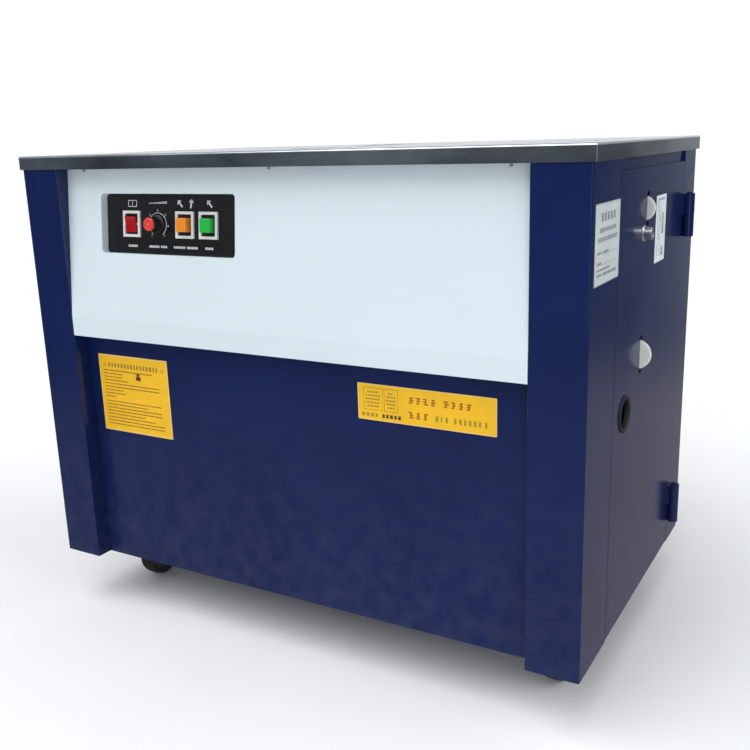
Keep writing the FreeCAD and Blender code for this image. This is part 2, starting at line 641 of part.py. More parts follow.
def inlet_grommet():
    """The rubber ring that lines the strap inlet of the right door."""
    centre = ("inlet_y", "inlet_z")
    body = fuse(rod("X", centre, SIDE, f"{SIDE} + inlet_rim", "inlet_r"),
                rod("X", centre, f"{SIDE_IN} - inlet_rim", SIDE_IN, "inlet_r"),
                rod("X", centre, f"{SIDE_IN} - 1", f"{SIDE} + 1", "inlet_r - 3"))
    keep(cut(body, rod("X", centre, f"{SIDE} - 20", f"{SIDE} + 20", "inlet_bore")), "strap_inlet_grommet")


def tension_wheels():
    """The two adjusting wheels that reach out through the door, on brackets from the front post."""
    brackets = []
    for name in ("low", "high"):
        centre = (f"({SIDE} + {name}_wheel_out - {name}_wheel_r)", f"{name}_wheel_z")
        y_mid = f"{name}_wheel_y"
        disc = rod("Y", centre, f"{y_mid} - wheel_thick/2", f"{y_mid} + wheel_thick/2", f"{name}_wheel_r")
        spindle = rod("Y", centre, f"{y_mid} - 15", f"{y_mid} + 15", "spindle_r")
        keep(fuse(disc, spindle), f"{name}_tension_wheel")
        zs = (f"{name}_wheel_z - ear_tall", f"{name}_wheel_z + ear_tall")
        back = f"({SIDE} - 43)"
        bar = box(((back, f"{back} + 8"), (f"-{DOOR_FRONT} - 18", f"{y_mid} + 13"), zs))
        root = box(((back, SIDE_IN), (f"-{DOOR_FRONT} - 18", f"-{DOOR_FRONT} - 4"), zs))
        ears = [box(((back, f"{SIDE} - 4"), (f"{y_mid} + {near}", f"{y_mid} + {near} + ear"), zs))
                for near in (-13, 10)]
        bore = rod("Y", centre, f"{y_mid} - 16", f"{y_mid} + 16", "spindle_r + run_gap")
        brackets.append(cut(fuse(bar, root, *ears), bore))
    keep(group(*brackets), "tension_brackets")


# ---------------------------------------------------------------- casters

AXLE_Z = "tyre_r"


def caster(name, sx, sy):
    """A swivel caster: fork with its swivel head and axle, and the wheel."""
    x_mid, y_mid = f"{sx}*caster_x", f"{sy}*caster_y"
    wheel_y = f"({y_mid} + caster_trail)"
    plate_low = "(ground - caster_plate)"
    crown_low = "(2*tyre_r + 2.5)"
    half = "(tyre_wide/2 + fork_gap)"
    crown = box(((f"{x_mid} - {half} - fork_sheet", f"{x_mid} + {half} + fork_sheet"),
                 (f"{y_mid} - 20", f"{y_mid} + 42"), (crown_low, f"{crown_low} + fork_sheet")))
    head = rod("Z", (x_mid, y_mid), crown_low, f"{plate_low} - gap", "swivel_r")
    stem = rod("Z", (x_mid, y_mid), crown_low, f"{plate_low} + 2", "axle_r")
    legs = []
    for sign in (1, -1):
        inner = f"({x_mid} + {sign}*{half})"
        body = document.addObject("PartDesign::Body", "leg")
        start = f"{x_mid} + {half}" if sign == 1 else f"{x_mid} - {half} - fork_sheet"
        pad(body, "YZ_Plane", start, "fork_sheet",
            [(f"{y_mid} - 20", f"{crown_low} + 1"), (f"{wheel_y} - 10", f"{AXLE_Z} - 8"),
             (f"{wheel_y} + 10", f"{AXLE_Z} - 8"), (f"{y_mid} + 42", f"{crown_low} + 1")])
        legs.append(body)
    axle = rod("X", (wheel_y, AXLE_Z), f"{x_mid} - {half} - fork_sheet - 3",
               f"{x_mid} + {half} + fork_sheet + 3", "axle_r")
    keep(fuse(crown, head, stem, *legs, axle), f"{name}_caster_fork")
    turned = lathe([("axle_r + run_gap", "-tyre_wide/2 - 1"), ("hub_r", "-tyre_wide/2 - 1"),
                    ("hub_r", "-tyre_wide/2 + 3"), ("tyre_r - 9", "-tyre_wide/2 + 3"),
                    ("tyre_r - 9", "-tyre_wide/2"), ("tyre_r - tread_r", "-tyre_wide/2"),
                    ("tyre_r - tread_r/3", "-tyre_wide/2 + tread_r/3"), ("tyre_r", "-tyre_wide/2 + tread_r"),
                    ("tyre_r", "tyre_wide/2 - tread_r"), ("tyre_r - tread_r/3", "tyre_wide/2 - tread_r/3"),
                    ("tyre_r - tread_r", "tyre_wide/2"), ("tyre_r - 9", "tyre_wide/2"),
                    ("tyre_r - 9", "tyre_wide/2 - 3"), ("hub_r", "tyre_wide/2 - 3"),
                    ("hub_r", "tyre_wide/2 + 1"), ("axle_r + run_gap", "tyre_wide/2 + 1")])
    keep(turn(turned, (x_mid, wheel_y, AXLE_Z), (0, 1, 0), "90"), f"{name}_caster_wheel")


def casters():
    """Four casters, their top plates and their bolts."""
    plates, bolts = [], []
    for name, sx, sy in (("front_left", -1, -1), ("front_right", 1, -1), ("rear_left", -1, 1), ("rear_right", 1, 1)):
        caster(name, sx, sy)
        x_mid, y_mid = f"{sx}*caster_x", f"{sy}*caster_y"
        spots = [(f"{x_mid} + {bx}*bolt_x/2", f"{y_mid} + {by}*bolt_y/2") for bx in (1, -1) for by in (1, -1)]
        blank = box(((f"{x_mid} - caster_plate_x/2", f"{x_mid} + caster_plate_x/2"),
                     (f"{y_mid} - caster_plate_y/2", f"{y_mid} + caster_plate_y/2"),
                     ("ground - caster_plate", "ground")))
        holes = [rod("Z", spot, "ground - caster_plate - 1", "ground + 1", "bolt_r + gap") for spot in spots]
        socket = rod("Z", (x_mid, y_mid), "ground - caster_plate - 1", "ground + 1", "axle_r + run_gap")
        plates.append(cut(blank, *holes, socket))
        for spot in spots:
            bolts.append(fuse(rod("Z", spot, "ground - caster_plate - 4", "ground - caster_plate", "bolt_r + 2.5"),
                              rod("Z", spot, "ground - caster_plate - 1", "ground + tray_wall + 8", "bolt_r")))
    keep(group(*plates), "caster_plates")
    return bolts


# ---------------------------------------------------------------- sealing head

def head_frame():
    """Two cheeks hung under the rails, two bulkheads with the camshaft bores, and the block guide."""
    reach = f"({FRONT} - post_return - gap)"
    low, high = f"({RAIL_LOW} - cheek_tall)", RAIL_LOW
    cheeks = [box(((f"{side}*cheek_x", f"{side}*(cheek_x + cheek)"), (f"-{reach}", reach), (low, high)))
              for side in (1, -1)]
    bulkheads = [box((("-cheek_x - 1", "cheek_x + 1"), (f"{end}*bulkhead_y", f"{end}*(bulkhead_y - cheek)"),
                      (low, high))) for end in (1, -1)]
    guide = box((("-block_wide/2 - 8", "block_wide/2 + 8"), ("-bulkhead_y", "bulkhead_y"), (f"{high} - 26", high)))
    pockets = [box((("-block_wide/2 - block_gap", "block_wide/2 + block_gap"),
                    (f"{k}*block_pitch - block_long/2 - block_gap", f"{k}*block_pitch + block_long/2 + block_gap"),
                    (f"{high} - 30", f"{high} + 1"))) for k in (-1, 0, 1)]
    shaft_bore = rod("Y", ("0", "cam_z"), "-bulkhead_y - 1", "bulkhead_y + 1", "cam_shaft_r + run_gap")
    notches = [box((("-cheek_x - cheek - 1", "cheek_x + cheek + 1"),
                    (f"{end}*(gearbox_back + 2)", f"{end}*({reach} + 1)"), (f"{low} - 1", f"{high} - 20")))
               for end in (1, -1)]
    lug = box((("heater_x - 8", "cheek_x + 1"), ("heater_y - 9", "bulkhead_y - 1"), (f"{high} - 16", high)))
    lug_bore = rod("Z", ("heater_x", "heater_y"), f"{high} - 30", f"{high} + 10", "heater_post_r + run_gap")
    bores = [rod("X", (y_mid, "feed_z"), "-cheek_x - cheek - 1", "cheek_x + cheek + 1", "roller_shaft_r + run_gap")
             for y_mid in ("feed_y", "feed_y - feed_r - pinch_r - gap")]
    keep(cut(fuse(*cheeks, *bulkheads, guide, lug), *pockets, shaft_bore, lug_bore, *notches, *bores), "head_frame")


def sliding_block(label, index, top_notch):
    """A block that the camshaft lifts; it clamps, presses or cuts the strap."""
    y_mid = f"({index}*block_pitch)"
    block = box((("-block_wide/2", "block_wide/2"), (f"{y_mid} - block_long/2", f"{y_mid} + block_long/2"),
                 ("block_top - block_tall", "block_top")))
    notch = box((("-block_wide/2 - 1", "block_wide/2 + 1"), (f"{y_mid} - {top_notch}", f"{y_mid} + {top_notch}"),
                 ("block_top - 1.5", "block_top + 1")))
    keep(cut(block, notch), label)


def camshaft():
    """The camshaft with its three offset cams."""
    shaft = rod("Y", ("0", "cam_z"), "-bulkhead_y - 8", "gearbox_front - gap", "cam_shaft_r")
    cams = []
    for index in (-1, 0, 1):
        angle = math.radians(120 * index - 90)
        cams.append(rod("Y", (f"cam_throw*{math.cos(angle):.4f}", f"cam_z + cam_throw*{math.sin(angle):.4f}"),
                        f"{index}*block_pitch - cam_wide/2", f"{index}*block_pitch + cam_wide/2", "cam_r"))
    keep(fuse(shaft, *cams), "camshaft")


def heater_arm():
    """The arm that swings the hot blade between the straps, on a post beside the window."""
    post_rod = rod("Z", ("heater_x", "heater_y"), f"{RAIL_LOW} - 20", "heater_z + heater_thick",
                   "heater_post_r")
    blade = box((("heater_x - 5", "heater_x + 5"), ("heater_y - 70", "heater_y"),
                 ("heater_z", "heater_z + heater_thick")))
    keep(fuse(post_rod, blade), "heater_arm")


def roller(label, y_mid, radius):
    """A strap roller on its own shaft through both cheeks."""
    centre = (y_mid, "feed_z")
    keep(fuse(rod("X", centre, "-roller_wide/2", "roller_wide/2", radius),
              rod("X", centre, "-cheek_x - cheek - 6", "cheek_x + cheek + 6", "roller_shaft_r")), label)


# ---------------------------------------------------------------- drive

def gearbox():
    """The worm gearbox between the cheeks, with its input shaft to the rear."""
    case = box((("-gearbox_half", "gearbox_half"), ("gearbox_front", "gearbox_back"), ("gearbox_low", "gearbox_high")))
    ears = [box(((f"{side}*(gearbox_half - 1)", f"{side}*cheek_x"), ("gearbox_front + 10", "gearbox_back - 10"),
                 (f"{RAIL_LOW} - cheek_tall + 4", "gearbox_high - 8"))) for side in (1, -1)]
    keep(fuse(case, *ears, rod("Y", ("0", "drive_z"), "gearbox_back", "pulley_y + pulley_wide/2 + 6",
                               "drive_shaft_r")), "gearbox")


def motor():
    """The motor on its foot, with the shaft end to the rear."""
    back = "(pulley_y - pulley_wide/2 - 8)"
    centre = ("motor_x", "motor_z")
    can = rod("Y", centre, f"{back} - motor_long", back, "motor_r")
    foot = box((("motor_x - 60", "motor_x + 60"), (f"{back} - motor_long + 30", f"{back} - 30"),
                ("ground + tray_wall", "motor_z - motor_r + 12")))
    junction = box((("motor_x - 35", "motor_x + 35"), (f"{back} - motor_long + 50", f"{back} - 50"),
                    ("motor_z + motor_r - 12", "motor_z + motor_r + 32")))
    shaft = rod("Y", centre, back, "pulley_y + pulley_wide/2 + 6", "drive_shaft_r")
    keep(fuse(can, foot, junction, shaft), "motor")


def pulley(label, x_mid, z_mid, radius):
    """A grooved pulley bored for its shaft."""
    body = lathe([("drive_shaft_r + run_gap", "-pulley_wide/2"), (radius, "-pulley_wide/2"),
                  (radius, "-belt_wide/2 - gap"), (f"{radius} - groove", "-belt_wide/2 - gap"),
                  (f"{radius} - groove", "belt_wide/2 + gap"), (radius, "belt_wide/2 + gap"),
                  (radius, "pulley_wide/2"), ("drive_shaft_r + run_gap", "pulley_wide/2")])
    keep(turn(body, (x_mid, "pulley_y", z_mid), (1, 0, 0), "-90"), label)


def belt_loop(radii):
    """A flat face bounded by two arcs and the two straight runs that touch both."""
    (x_one, z_one, r_one), (x_two, z_two, r_two) = radii
    run = math.hypot(x_two - x_one, z_two - z_one)
    heading = math.atan2(z_two - z_one, x_two - x_one)
    spread = math.acos((r_one - r_two) / run)

    def at(centre_x, centre_z, size, angle):
        return V(centre_x + size * math.cos(angle), 0, centre_z + size * math.sin(angle))
    high, low = heading + spread, heading - spread
    edges = [
        Part.LineSegment(at(x_one, z_one, r_one, high), at(x_two, z_two, r_two, high)).toShape(),
        Part.Arc(at(x_two, z_two, r_two, high), at(x_two, z_two, r_two, heading),
                 at(x_two, z_two, r_two, low)).toShape(),
        Part.LineSegment(at(x_two, z_two, r_two, low), at(x_one, z_one, r_one, low)).toShape(),
        Part.Arc(at(x_one, z_one, r_one, low), at(x_one, z_one, r_one, heading + math.pi),
                 at(x_one, z_one, r_one, high)).toShape(),
    ]
    return Part.Face(Part.Wire(edges))


def drive_belt():
    """The belt from the motor pulley to the gearbox pulley."""
    def loops(extra):
        return belt_loop([(0, number("drive_z"), number("drive_pulley_r - groove + gap") + extra),
                          (number("motor_x"), number("motor_z"), number("motor_pulley_r - groove + gap") + extra)])
    wide = number("belt_wide")
    solid = loops(number("belt_thick")).extrude(V(0, wide, 0)).cut(loops(0).extrude(V(0, wide, 0)))
    item = document.addObject("Part::Feature", "belt")
    item.Shape = solid
    place(item, ("0", "pulley_y - belt_wide/2", "0"))
    keep(item, "drive_belt")


# ---------------------------------------------------------------- strap reel

REEL_IN = "(reel_out + reel_wide)"


def windows(count):
    """Round windows that lighten a reel flange."""
    middle = "((core_r + reel_hub_r)/2)"
    return [rod("X", (f"{middle}*{math.cos(2 * math.pi * k / count):.5f}",
                      f"reel_z + {middle}*{math.sin(2 * math.pi * k / count):.5f}"),
                "reel_out - 10", f"{REEL_IN} + 10", "23") for k in range(count)]


def reel():
    """The strap reel: inner flange with core and hub, removable outer flange, and its shaft on a stand."""
    centre = ("0", "reel_z")
    inner = rod("X", centre, f"{REEL_IN} - flange", REEL_IN, "reel_r")
    core = tube("X", centre, "reel_out + flange + gap", f"{REEL_IN} - 1", "core_r", "core_r - 3")
    hub = rod("X", centre, "reel_out + flange + gap", REEL_IN, "reel_hub_r")
    bore = rod("X", centre, "reel_out - 20", f"{REEL_IN} + 20", "reel_shaft_r + run_gap")
    keep(cut(fuse(inner, core, hub), bore, *windows(5)), "reel_drum")
    disc = cut(rod("X", centre, "reel_out", "reel_out + flange", "reel_r"),
               rod("X", centre, "reel_out - 20", f"{REEL_IN} + 20", "reel_shaft_r + run_gap"), *windows(5))
    keep(disc, "reel_outer_flange")
    stand_x = f"({REEL_IN} + 6)"
    leg = box(((stand_x, f"{stand_x} + stand"), ("-stand_wide/2", "stand_wide/2"),
               ("ground + tray_wall", "reel_z + 40")))
    foot = box(((stand_x, f"{stand_x} + 60"), ("-stand_wide/2 - 30", "stand_wide/2 + 30"),
                ("ground + tray_wall", "ground + tray_wall + 8")))
    shaft = rod("X", centre, "reel_out - 14", f"{stand_x} + 1", "reel_shaft_r")
    collar = rod("X", centre, f"{REEL_IN} + gap", f"{stand_x} + 1", "reel_hub_r - 4")
    brake_boss = rod("X", ("brake_y", "brake_z"), f"{REEL_IN} - 5", f"{stand_x} + stand", "brake_pin_r")
    brake_stay = box(((stand_x, f"{stand_x} + stand"), ("stand_wide/2 - 1", "brake_y + 10"),
                      ("ground + tray_wall", "brake_z + 12")))
    keep(fuse(leg, foot, shaft, collar, brake_stay, brake_boss), "reel_stand")
    nut = fuse(rod("X", centre, "reel_out - 12", "reel_out - gap", "20"),
               box((("reel_out - 12", "reel_out - gap"), ("-34", "34"), ("reel_z - 7", "reel_z + 7"))))
    keep(cut(nut, rod("X", centre, "reel_out - 30", "reel_out + 30", "reel_shaft_r + run_gap")), "reel_nut")


def brake_arm():
    """The arm whose shoe drags under the rim of the reel's inner flange."""
    arm = box(((f"{REEL_IN} - 4", f"{REEL_IN} + 1.5"), ("brake_y - 86", "brake_y + 9"),
               ("brake_z - 8", "brake_z + 8.5")))
    bore = rod("X", ("brake_y", "brake_z"), f"{REEL_IN} - 20", f"{REEL_IN} + 20", "brake_pin_r + run_gap")
    keep(cut(arm, bore), "brake_arm")


# ---------------------------------------------------------------- strap pool, electrics, fasteners

def pool_box():
    """The open-topped box that holds a slack length of strap, on its stand."""
    xs = ("pool_x - pool_wide/2", "pool_x + pool_wide/2")
    ys = ("-pool_deep/2", "pool_deep/2")
    shell = box((xs, ys, ("pool_low", "pool_high")))
    hollow = box(((f"{xs[0]} + 2", f"{xs[1]} - 2"), (f"{ys[0]} + 2", f"{ys[1]} - 2"),
                  ("pool_low + 2", "pool_high + 1")))
    corners = ((f"{xs[1]} - 12", 1), (f"{xs[1]} - 12", -1), (xs[0], -1))
    legs = [box(((left, f"{left} + 12"), (f"{end}*pool_deep/2", f"{end}*(pool_deep/2 - 12)"),
                 ("ground + tray_wall", "pool_low + 1"))) for left, end in corners]
    keep(fuse(cut(shell, hollow), *legs), "strap_pool")


def electric_box():
    """The open control box that hangs from the rear rail, with its board inside."""
    xs = ("box_x - box_wide/2", "box_x + box_wide/2")
    ys = (f"{PANEL_Y} - wall - 4 - box_deep", f"{PANEL_Y} - wall - 4")
    shell = box((xs, ys, ("box_low", "box_high")))
    hollow = box(((f"{xs[0]} + 2", f"{xs[1]} + 1"), (f"{ys[0]} + 2", f"{ys[1]} - 2"),
                  ("box_low + 2", "box_high - 2")))
    hanger = box((xs, (f"{ys[1]} - 14", f"{ys[1]} - 2"), ("box_high - 1", RAIL_LOW)))
    board = box(((f"{xs[0]} + 3", f"{xs[0]} + 5"), (f"{ys[0]} + 10", f"{ys[1]} - 10"), ("box_low + 2", "box_high - 12")))
    chips = [box(((f"{xs[0]} + 4", f"{xs[0]} + 24"), (f"{ys[0]} + {20 + 32 * k}", f"{ys[0]} + {40 + 32 * k}"),
                  ("box_low + 40", "box_low + 70"))) for k in range(3)]
    keep(group(fuse(cut(shell, hollow), hanger), fuse(board, *chips)), "electric_box")


def fasteners(caster_bolts):
    """The caster bolts, and pan head screws under the table's skirt and along the rear panel."""
    screws = list(caster_bolts)
    for end in (-1, 1):
        for step in (-1, 0, 1):
            screws.append(rod("Z", (f"skirt_screw_x + {step}*skirt_screw_pitch", f"{end}*(deep/2 - table_sheet/2)"),
                              "tall - skirt - screw_tall", "tall - skirt", "skirt_screw_r"))
    for side in (1, -1):
        for up in ("ground + 40", "(ground + upper_top)/2", "upper_top - 40"):
            screws.append(rod("Y", (f"{side}*({POST_IN} - 12)", up), PANEL_Y, f"{PANEL_Y} + screw_tall", "screw_r"))
    keep(group(*screws), "fasteners")


def main():
    """Builds every sub-part, checks it and writes it."""
    posts()
    base_frame()
    top_rails()
    lower_front_panel()
    upper_front_panel()
    control_plate()
    bezels()
    power_rocker()
    length_knob()
    button("reset_button", "reset_x")
    button("feed_button", "feed_x")
    rear_panel()
    power_inlet()
    table_top()
    table_lid("right_table_lid", "1")
    table_lid("left_table_lid", "-1")
    head_strip()
    slide_plate()
    doors()
    hinge_pins()
    lock("right", "1")
    lock("left", "-1")
    inlet_grommet()
    tension_wheels()
    caster_bolts = casters()
    head_frame()
    sliding_block("front_gripper", -1, "2")
    sliding_block("press_head", 0, "1")
    sliding_block("rear_gripper", 1, "2")
    camshaft()
    heater_arm()
    roller("feed_roller", "feed_y", "feed_r")
    roller("pinch_roller", "feed_y - feed_r - pinch_r - gap", "pinch_r")
    gearbox()
    motor()
    pulley("drive_pulley", "0", "drive_z", "drive_pulley_r")
    pulley("motor_pulley", "motor_x", "motor_z", "motor_pulley_r")
    drive_belt()
    reel()
    brake_arm()
    pool_box()
    electric_box()
    fasteners(caster_bolts)
    document.recompute()
    for item in document.Objects:
        if any(state in ("Invalid", "Error") for state in item.State):
            raise RuntimeError(f"{item.Name} ({item.Label}) failed: {item.State}")
    os.makedirs("parts", exist_ok=True)
    for item in nodes:
        shape = item.Shape
        if shape.isNull() or not shape.isValid() or not shape.Solids:
            raise RuntimeError(f"{item.Label} has no valid shape")
        shape.exportStep(f"parts/{item.Label}.step")
    print(len(nodes), "sub-parts")


main()
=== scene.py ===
"""Semi automatic strapping machine: the finished look of every piece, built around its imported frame.

Metres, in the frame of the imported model: X to the operator's right, Y to the back, Z up, origin on the floor.
"""

import json
import logging
import math
import random
from dataclasses import dataclass, field
from enum import Enum
from typing import Callable, Iterable, Sequence

import bmesh
import bpy
from mathutils import Euler, Matrix, Vector


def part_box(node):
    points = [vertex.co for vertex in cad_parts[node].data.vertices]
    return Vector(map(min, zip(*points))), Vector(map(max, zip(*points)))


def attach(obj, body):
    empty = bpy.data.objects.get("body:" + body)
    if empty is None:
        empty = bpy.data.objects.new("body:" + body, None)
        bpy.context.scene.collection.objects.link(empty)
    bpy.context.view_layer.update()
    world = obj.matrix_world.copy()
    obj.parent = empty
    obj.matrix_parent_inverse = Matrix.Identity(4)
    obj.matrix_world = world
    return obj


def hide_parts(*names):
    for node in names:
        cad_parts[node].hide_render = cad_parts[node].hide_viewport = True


Colour = tuple[float, float, float]
Point = Sequence[float]
Chooser = Callable[[bmesh.types.BMEdge], bool]

log = logging.getLogger("strapping_machine")
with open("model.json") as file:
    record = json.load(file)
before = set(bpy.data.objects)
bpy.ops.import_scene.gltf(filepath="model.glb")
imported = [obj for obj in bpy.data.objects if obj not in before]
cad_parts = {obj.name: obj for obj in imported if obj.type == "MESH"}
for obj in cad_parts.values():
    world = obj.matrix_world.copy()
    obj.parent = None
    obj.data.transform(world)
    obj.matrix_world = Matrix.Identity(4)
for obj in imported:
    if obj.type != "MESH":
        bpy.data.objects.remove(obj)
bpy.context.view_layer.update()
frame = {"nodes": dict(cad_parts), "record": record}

MM = 0.001
WELD = 2e-6
NEAR = 2e-5
SKIN = 0.443
RECORD = frame["record"]
BODY_OF = {node: body for body, nodes in RECORD["behaviour"]["bodies"].items() for node in nodes}
SLOT_OF = {part["node"]: part["material_slot"] for part in RECORD["subparts"]}
MADE: dict["Finish", bpy.types.Material] = {}


class Side(Enum):
    """The two ends of the machine, as the operator sees them."""

    LEFT = -1
    RIGHT = 1


class Corner(Enum):
    """The four casters."""

    FRONT_LEFT = "front_left"
    FRONT_RIGHT = "front_right"
    REAR_LEFT = "rear_left"
    REAR_RIGHT = "rear_right"


# ---------------------------------------------------------------- finishes


class Graph:
    """A material's node tree, with its surface shader and the object's own coordinates at hand."""

    def __init__(self, name: str, roughness: float, metallic: float, coat: float) -> None:
        """Starts a material.

        Args:
            name: The material's name.
            roughness: Roughness, where no pattern drives it.
            metallic: 1 for bare metal and 0 for anything else.
            coat: Weight of a clear glossy coat.
        """
        self.material = bpy.data.materials.new(name)
        self.material.use_nodes = True
        self.tree = self.material.node_tree
        self.surface = self.tree.nodes["Principled BSDF"]
        self.surface.inputs["Roughness"].default_value = roughness
        self.surface.inputs["Metallic"].default_value = metallic
        self.surface.inputs["Coat Weight"].default_value = coat
        self.place = self.add("ShaderNodeTexCoord").outputs["Object"]

    def add(self, kind: str, **settings: object) -> bpy.types.Node:
        """Adds a node and sets its own properties.

        Args:
            kind: The node's type.
            settings: Values of the node's own properties.

        Returns:
            The new node.
        """
        node = self.tree.nodes.new(kind)
        for key, value in settings.items():
            setattr(node, key, value)
        return node

    def join(self, output: bpy.types.NodeSocket, target: bpy.types.NodeSocket) -> None:
        """Links an output to an input."""
        self.tree.links.new(output, target)

    def noise(self, scale: float, detail: float = 2.0, stretch: Point = (1, 1, 1)) -> bpy.types.NodeSocket:
        """A noise pattern on the object's coordinates.

        Args:
            scale: Features per metre.
            detail: Octaves of finer noise.
            stretch: How many times finer the pattern is along each axis.

        Returns:
            The pattern's value, from 0 to 1.
        """
        mapping = self.add("ShaderNodeMapping")
        mapping.inputs["Scale"].default_value = stretch
        self.join(self.place, mapping.inputs["Vector"])
        pattern = self.add("ShaderNodeTexNoise")
        pattern.inputs["Scale"].default_value = scale
        pattern.inputs["Detail"].default_value = detail
        self.join(mapping.outputs["Vector"], pattern.inputs["Vector"])
        return pattern.outputs["Fac"]

    def cells(self, scale: float) -> bpy.types.NodeSocket:
        """A pattern of flat crystal cells, as a brightness for each cell.

        Args:
            scale: Cells per metre.

        Returns:
            The cell's brightness, from 0 to 1.
        """
        pattern = self.add("ShaderNodeTexVoronoi")
        pattern.inputs["Scale"].default_value = scale
        self.join(self.place, pattern.inputs["Vector"])
        split = self.add("ShaderNodeSeparateColor")
        self.join(pattern.outputs["Color"], split.inputs["Color"])
        return split.outputs["Red"]

    def span(self, value: bpy.types.NodeSocket, low: float, high: float,
             start: float = 0.3, end: float = 0.7) -> bpy.types.NodeSocket:
        """A value stretched from start…end to low…high.

        Args:
            value: The value.
            low: What start becomes.
            high: What end becomes.
            start: Lower end of the value's range.
            end: Upper end of the value's range.

        Returns:
            The stretched value.
        """
        remap = self.add("ShaderNodeMapRange")
        settings = {"From Min": start, "From Max": end, "To Min": low, "To Max": high}
        for key, number in settings.items():
            remap.inputs[key].default_value = number
        self.join(value, remap.inputs["Value"])
        return remap.outputs["Result"]

    def product(self, one: bpy.types.NodeSocket, two: bpy.types.NodeSocket) -> bpy.types.NodeSocket:
        """Two values multiplied.

        Args:
            one: The first value.
            two: The second value.

        Returns:
            Their product.
        """
        node = self.add("ShaderNodeMath", operation="MULTIPLY")
        self.join(one, node.inputs[0])
        self.join(two, node.inputs[1])
        return node.outputs[0]

    def blend(self, share: bpy.types.NodeSocket, one: object, two: object) -> bpy.types.NodeSocket:
        """Two colours mixed by a share; each is a colour or the output of another node.

        Args:
            share: How much of the second colour shows.
            one: The first colour.
            two: The second colour.

        Returns:
            The mixed colour.
        """
        node = self.add("ShaderNodeMix", data_type="RGBA")
        self.join(share, node.inputs[0])
        for index, colour in ((6, one), (7, two)):
            if isinstance(colour, tuple):
                node.inputs[index].default_value = (*colour, 1.0)
            else:
                self.join(colour, node.inputs[index])
        return node.outputs[2]

    def edges(self, radius: float, keenness: float = 0.25) -> bpy.types.NodeSocket:
        """How near a surface is to an outside or inside edge, from 0 to 1.

        Args:
            radius: Reach of the edge, in metres.
            keenness: How much the surface has to turn to count.

        Returns:
            The nearness.
        """
        soft = self.add("ShaderNodeBevel")
        soft.inputs["Radius"].default_value = radius
        exact = self.add("ShaderNodeNewGeometry")
        likeness = self.add("ShaderNodeVectorMath", operation="DOT_PRODUCT")
        self.join(soft.outputs["Normal"], likeness.inputs[0])
        self.join(exact.outputs["Normal"], likeness.inputs[1])
        return self.span(likeness.outputs["Value"], 1.0, 0.0, 1.0 - keenness, 0.99)

    def height(self) -> bpy.types.NodeSocket:
        """Height above the floor, in metres.

        Returns:
            The height.
        """
        split = self.add("ShaderNodeSeparateXYZ")
        self.join(self.place, split.inputs["Vector"])
        return split.outputs["Z"]

    def relief(self, *layers: tuple[bpy.types.NodeSocket, float, float]) -> None:
        """Bumps the surface by layers of (pattern, strength, depth in metres).

        Args:
            layers: The layers, coarse ones first.
        """
        below = None
        for pattern, strength, depth in layers:
            bump = self.add("ShaderNodeBump")
            bump.inputs["Strength"].default_value = strength
            bump.inputs["Distance"].default_value = depth
            self.join(pattern, bump.inputs["Height"])
            if below is not None:
                self.join(below, bump.inputs["Normal"])
            below = bump.outputs["Normal"]
        self.join(below, self.surface.inputs["Normal"])


@dataclass(frozen=True)
class Finish:
    """What every finish has: a name, a colour, a gloss and the way that its edges wear."""

    name: str
    colour: Colour
    roughness: float = 0.4
    coat: float = 0.0
    metallic: float = 0.0
    worn: Colour = (0.5, 0.5, 0.5)
    wear: float = 0.25
    drift: float = 0.12

    def shade(self, factor: float) -> Colour:
        """The finish's colour, lighter or darker by a factor."""
        return tuple(min(1.0, part * factor) for part in self.colour)

    def dress(self, graph: Graph) -> None:
        """Colour that drifts slowly and pales where edges are rubbed; finishes add their own relief.

        Args:
            graph: The material's nodes.
        """
        drifting = graph.blend(graph.span(graph.noise(7, 3), 0, 1),
                               self.shade(1 - self.drift), self.shade(1 + self.drift))
        rubbed = graph.product(graph.edges(1.2 * MM), graph.span(graph.noise(90, 4), 0, self.wear, 0.42, 0.62))
        graph.join(graph.blend(rubbed, drifting, self.worn), graph.surface.inputs["Base Color"])

    def material(self) -> bpy.types.Material:
        """The finish as a material, made once.

        Returns:
            The material.
        """
        if self not in MADE:
            graph = Graph(f"{self.name}_finish", self.roughness, self.metallic, self.coat)
            self.dress(graph)
            MADE[self] = graph.material
        return MADE[self]


@dataclass(frozen=True)
class Paint(Finish):
    """Stoved gloss paint on sheet steel: orange peel, faint waves in the sheet, dust towards the floor."""

    peel: float = 0.03
    waves: float = 0.1
    dust: float = 0.05

    def dress(self, graph: Graph) -> None:
        """Adds orange peel, sheet waves and dust to the base colour.

        Args:
            graph: The material's nodes.
        """
        drifting = graph.blend(graph.span(graph.noise(5, 3), 0, 1),
                               self.shade(1 - self.drift), self.shade(1 + self.drift))
        dusty = graph.product(graph.span(graph.height(), self.dust, 0, 0.08, 0.4),
                              graph.span(graph.noise(38, 8), 0, 1, 0.35, 0.75))
        settled = graph.blend(dusty, drifting, (0.35, 0.34, 0.32))
        rubbed = graph.product(graph.edges(0.9 * MM), graph.span(graph.noise(70, 5), 0, self.wear, 0.45, 0.6))
        graph.join(graph.blend(rubbed, settled, self.worn), graph.surface.inputs["Base Color"])
        graph.surface.inputs["Specular IOR Level"].default_value = 0.34
        gloss = graph.span(graph.noise(6, 2), self.roughness - 0.02, self.roughness + 0.03)
        graph.join(gloss, graph.surface.inputs["Roughness"])
        graph.relief((graph.noise(2.6, 1), self.waves, 4 * MM), (graph.noise(620, 2), self.peel, 0.06 * MM))


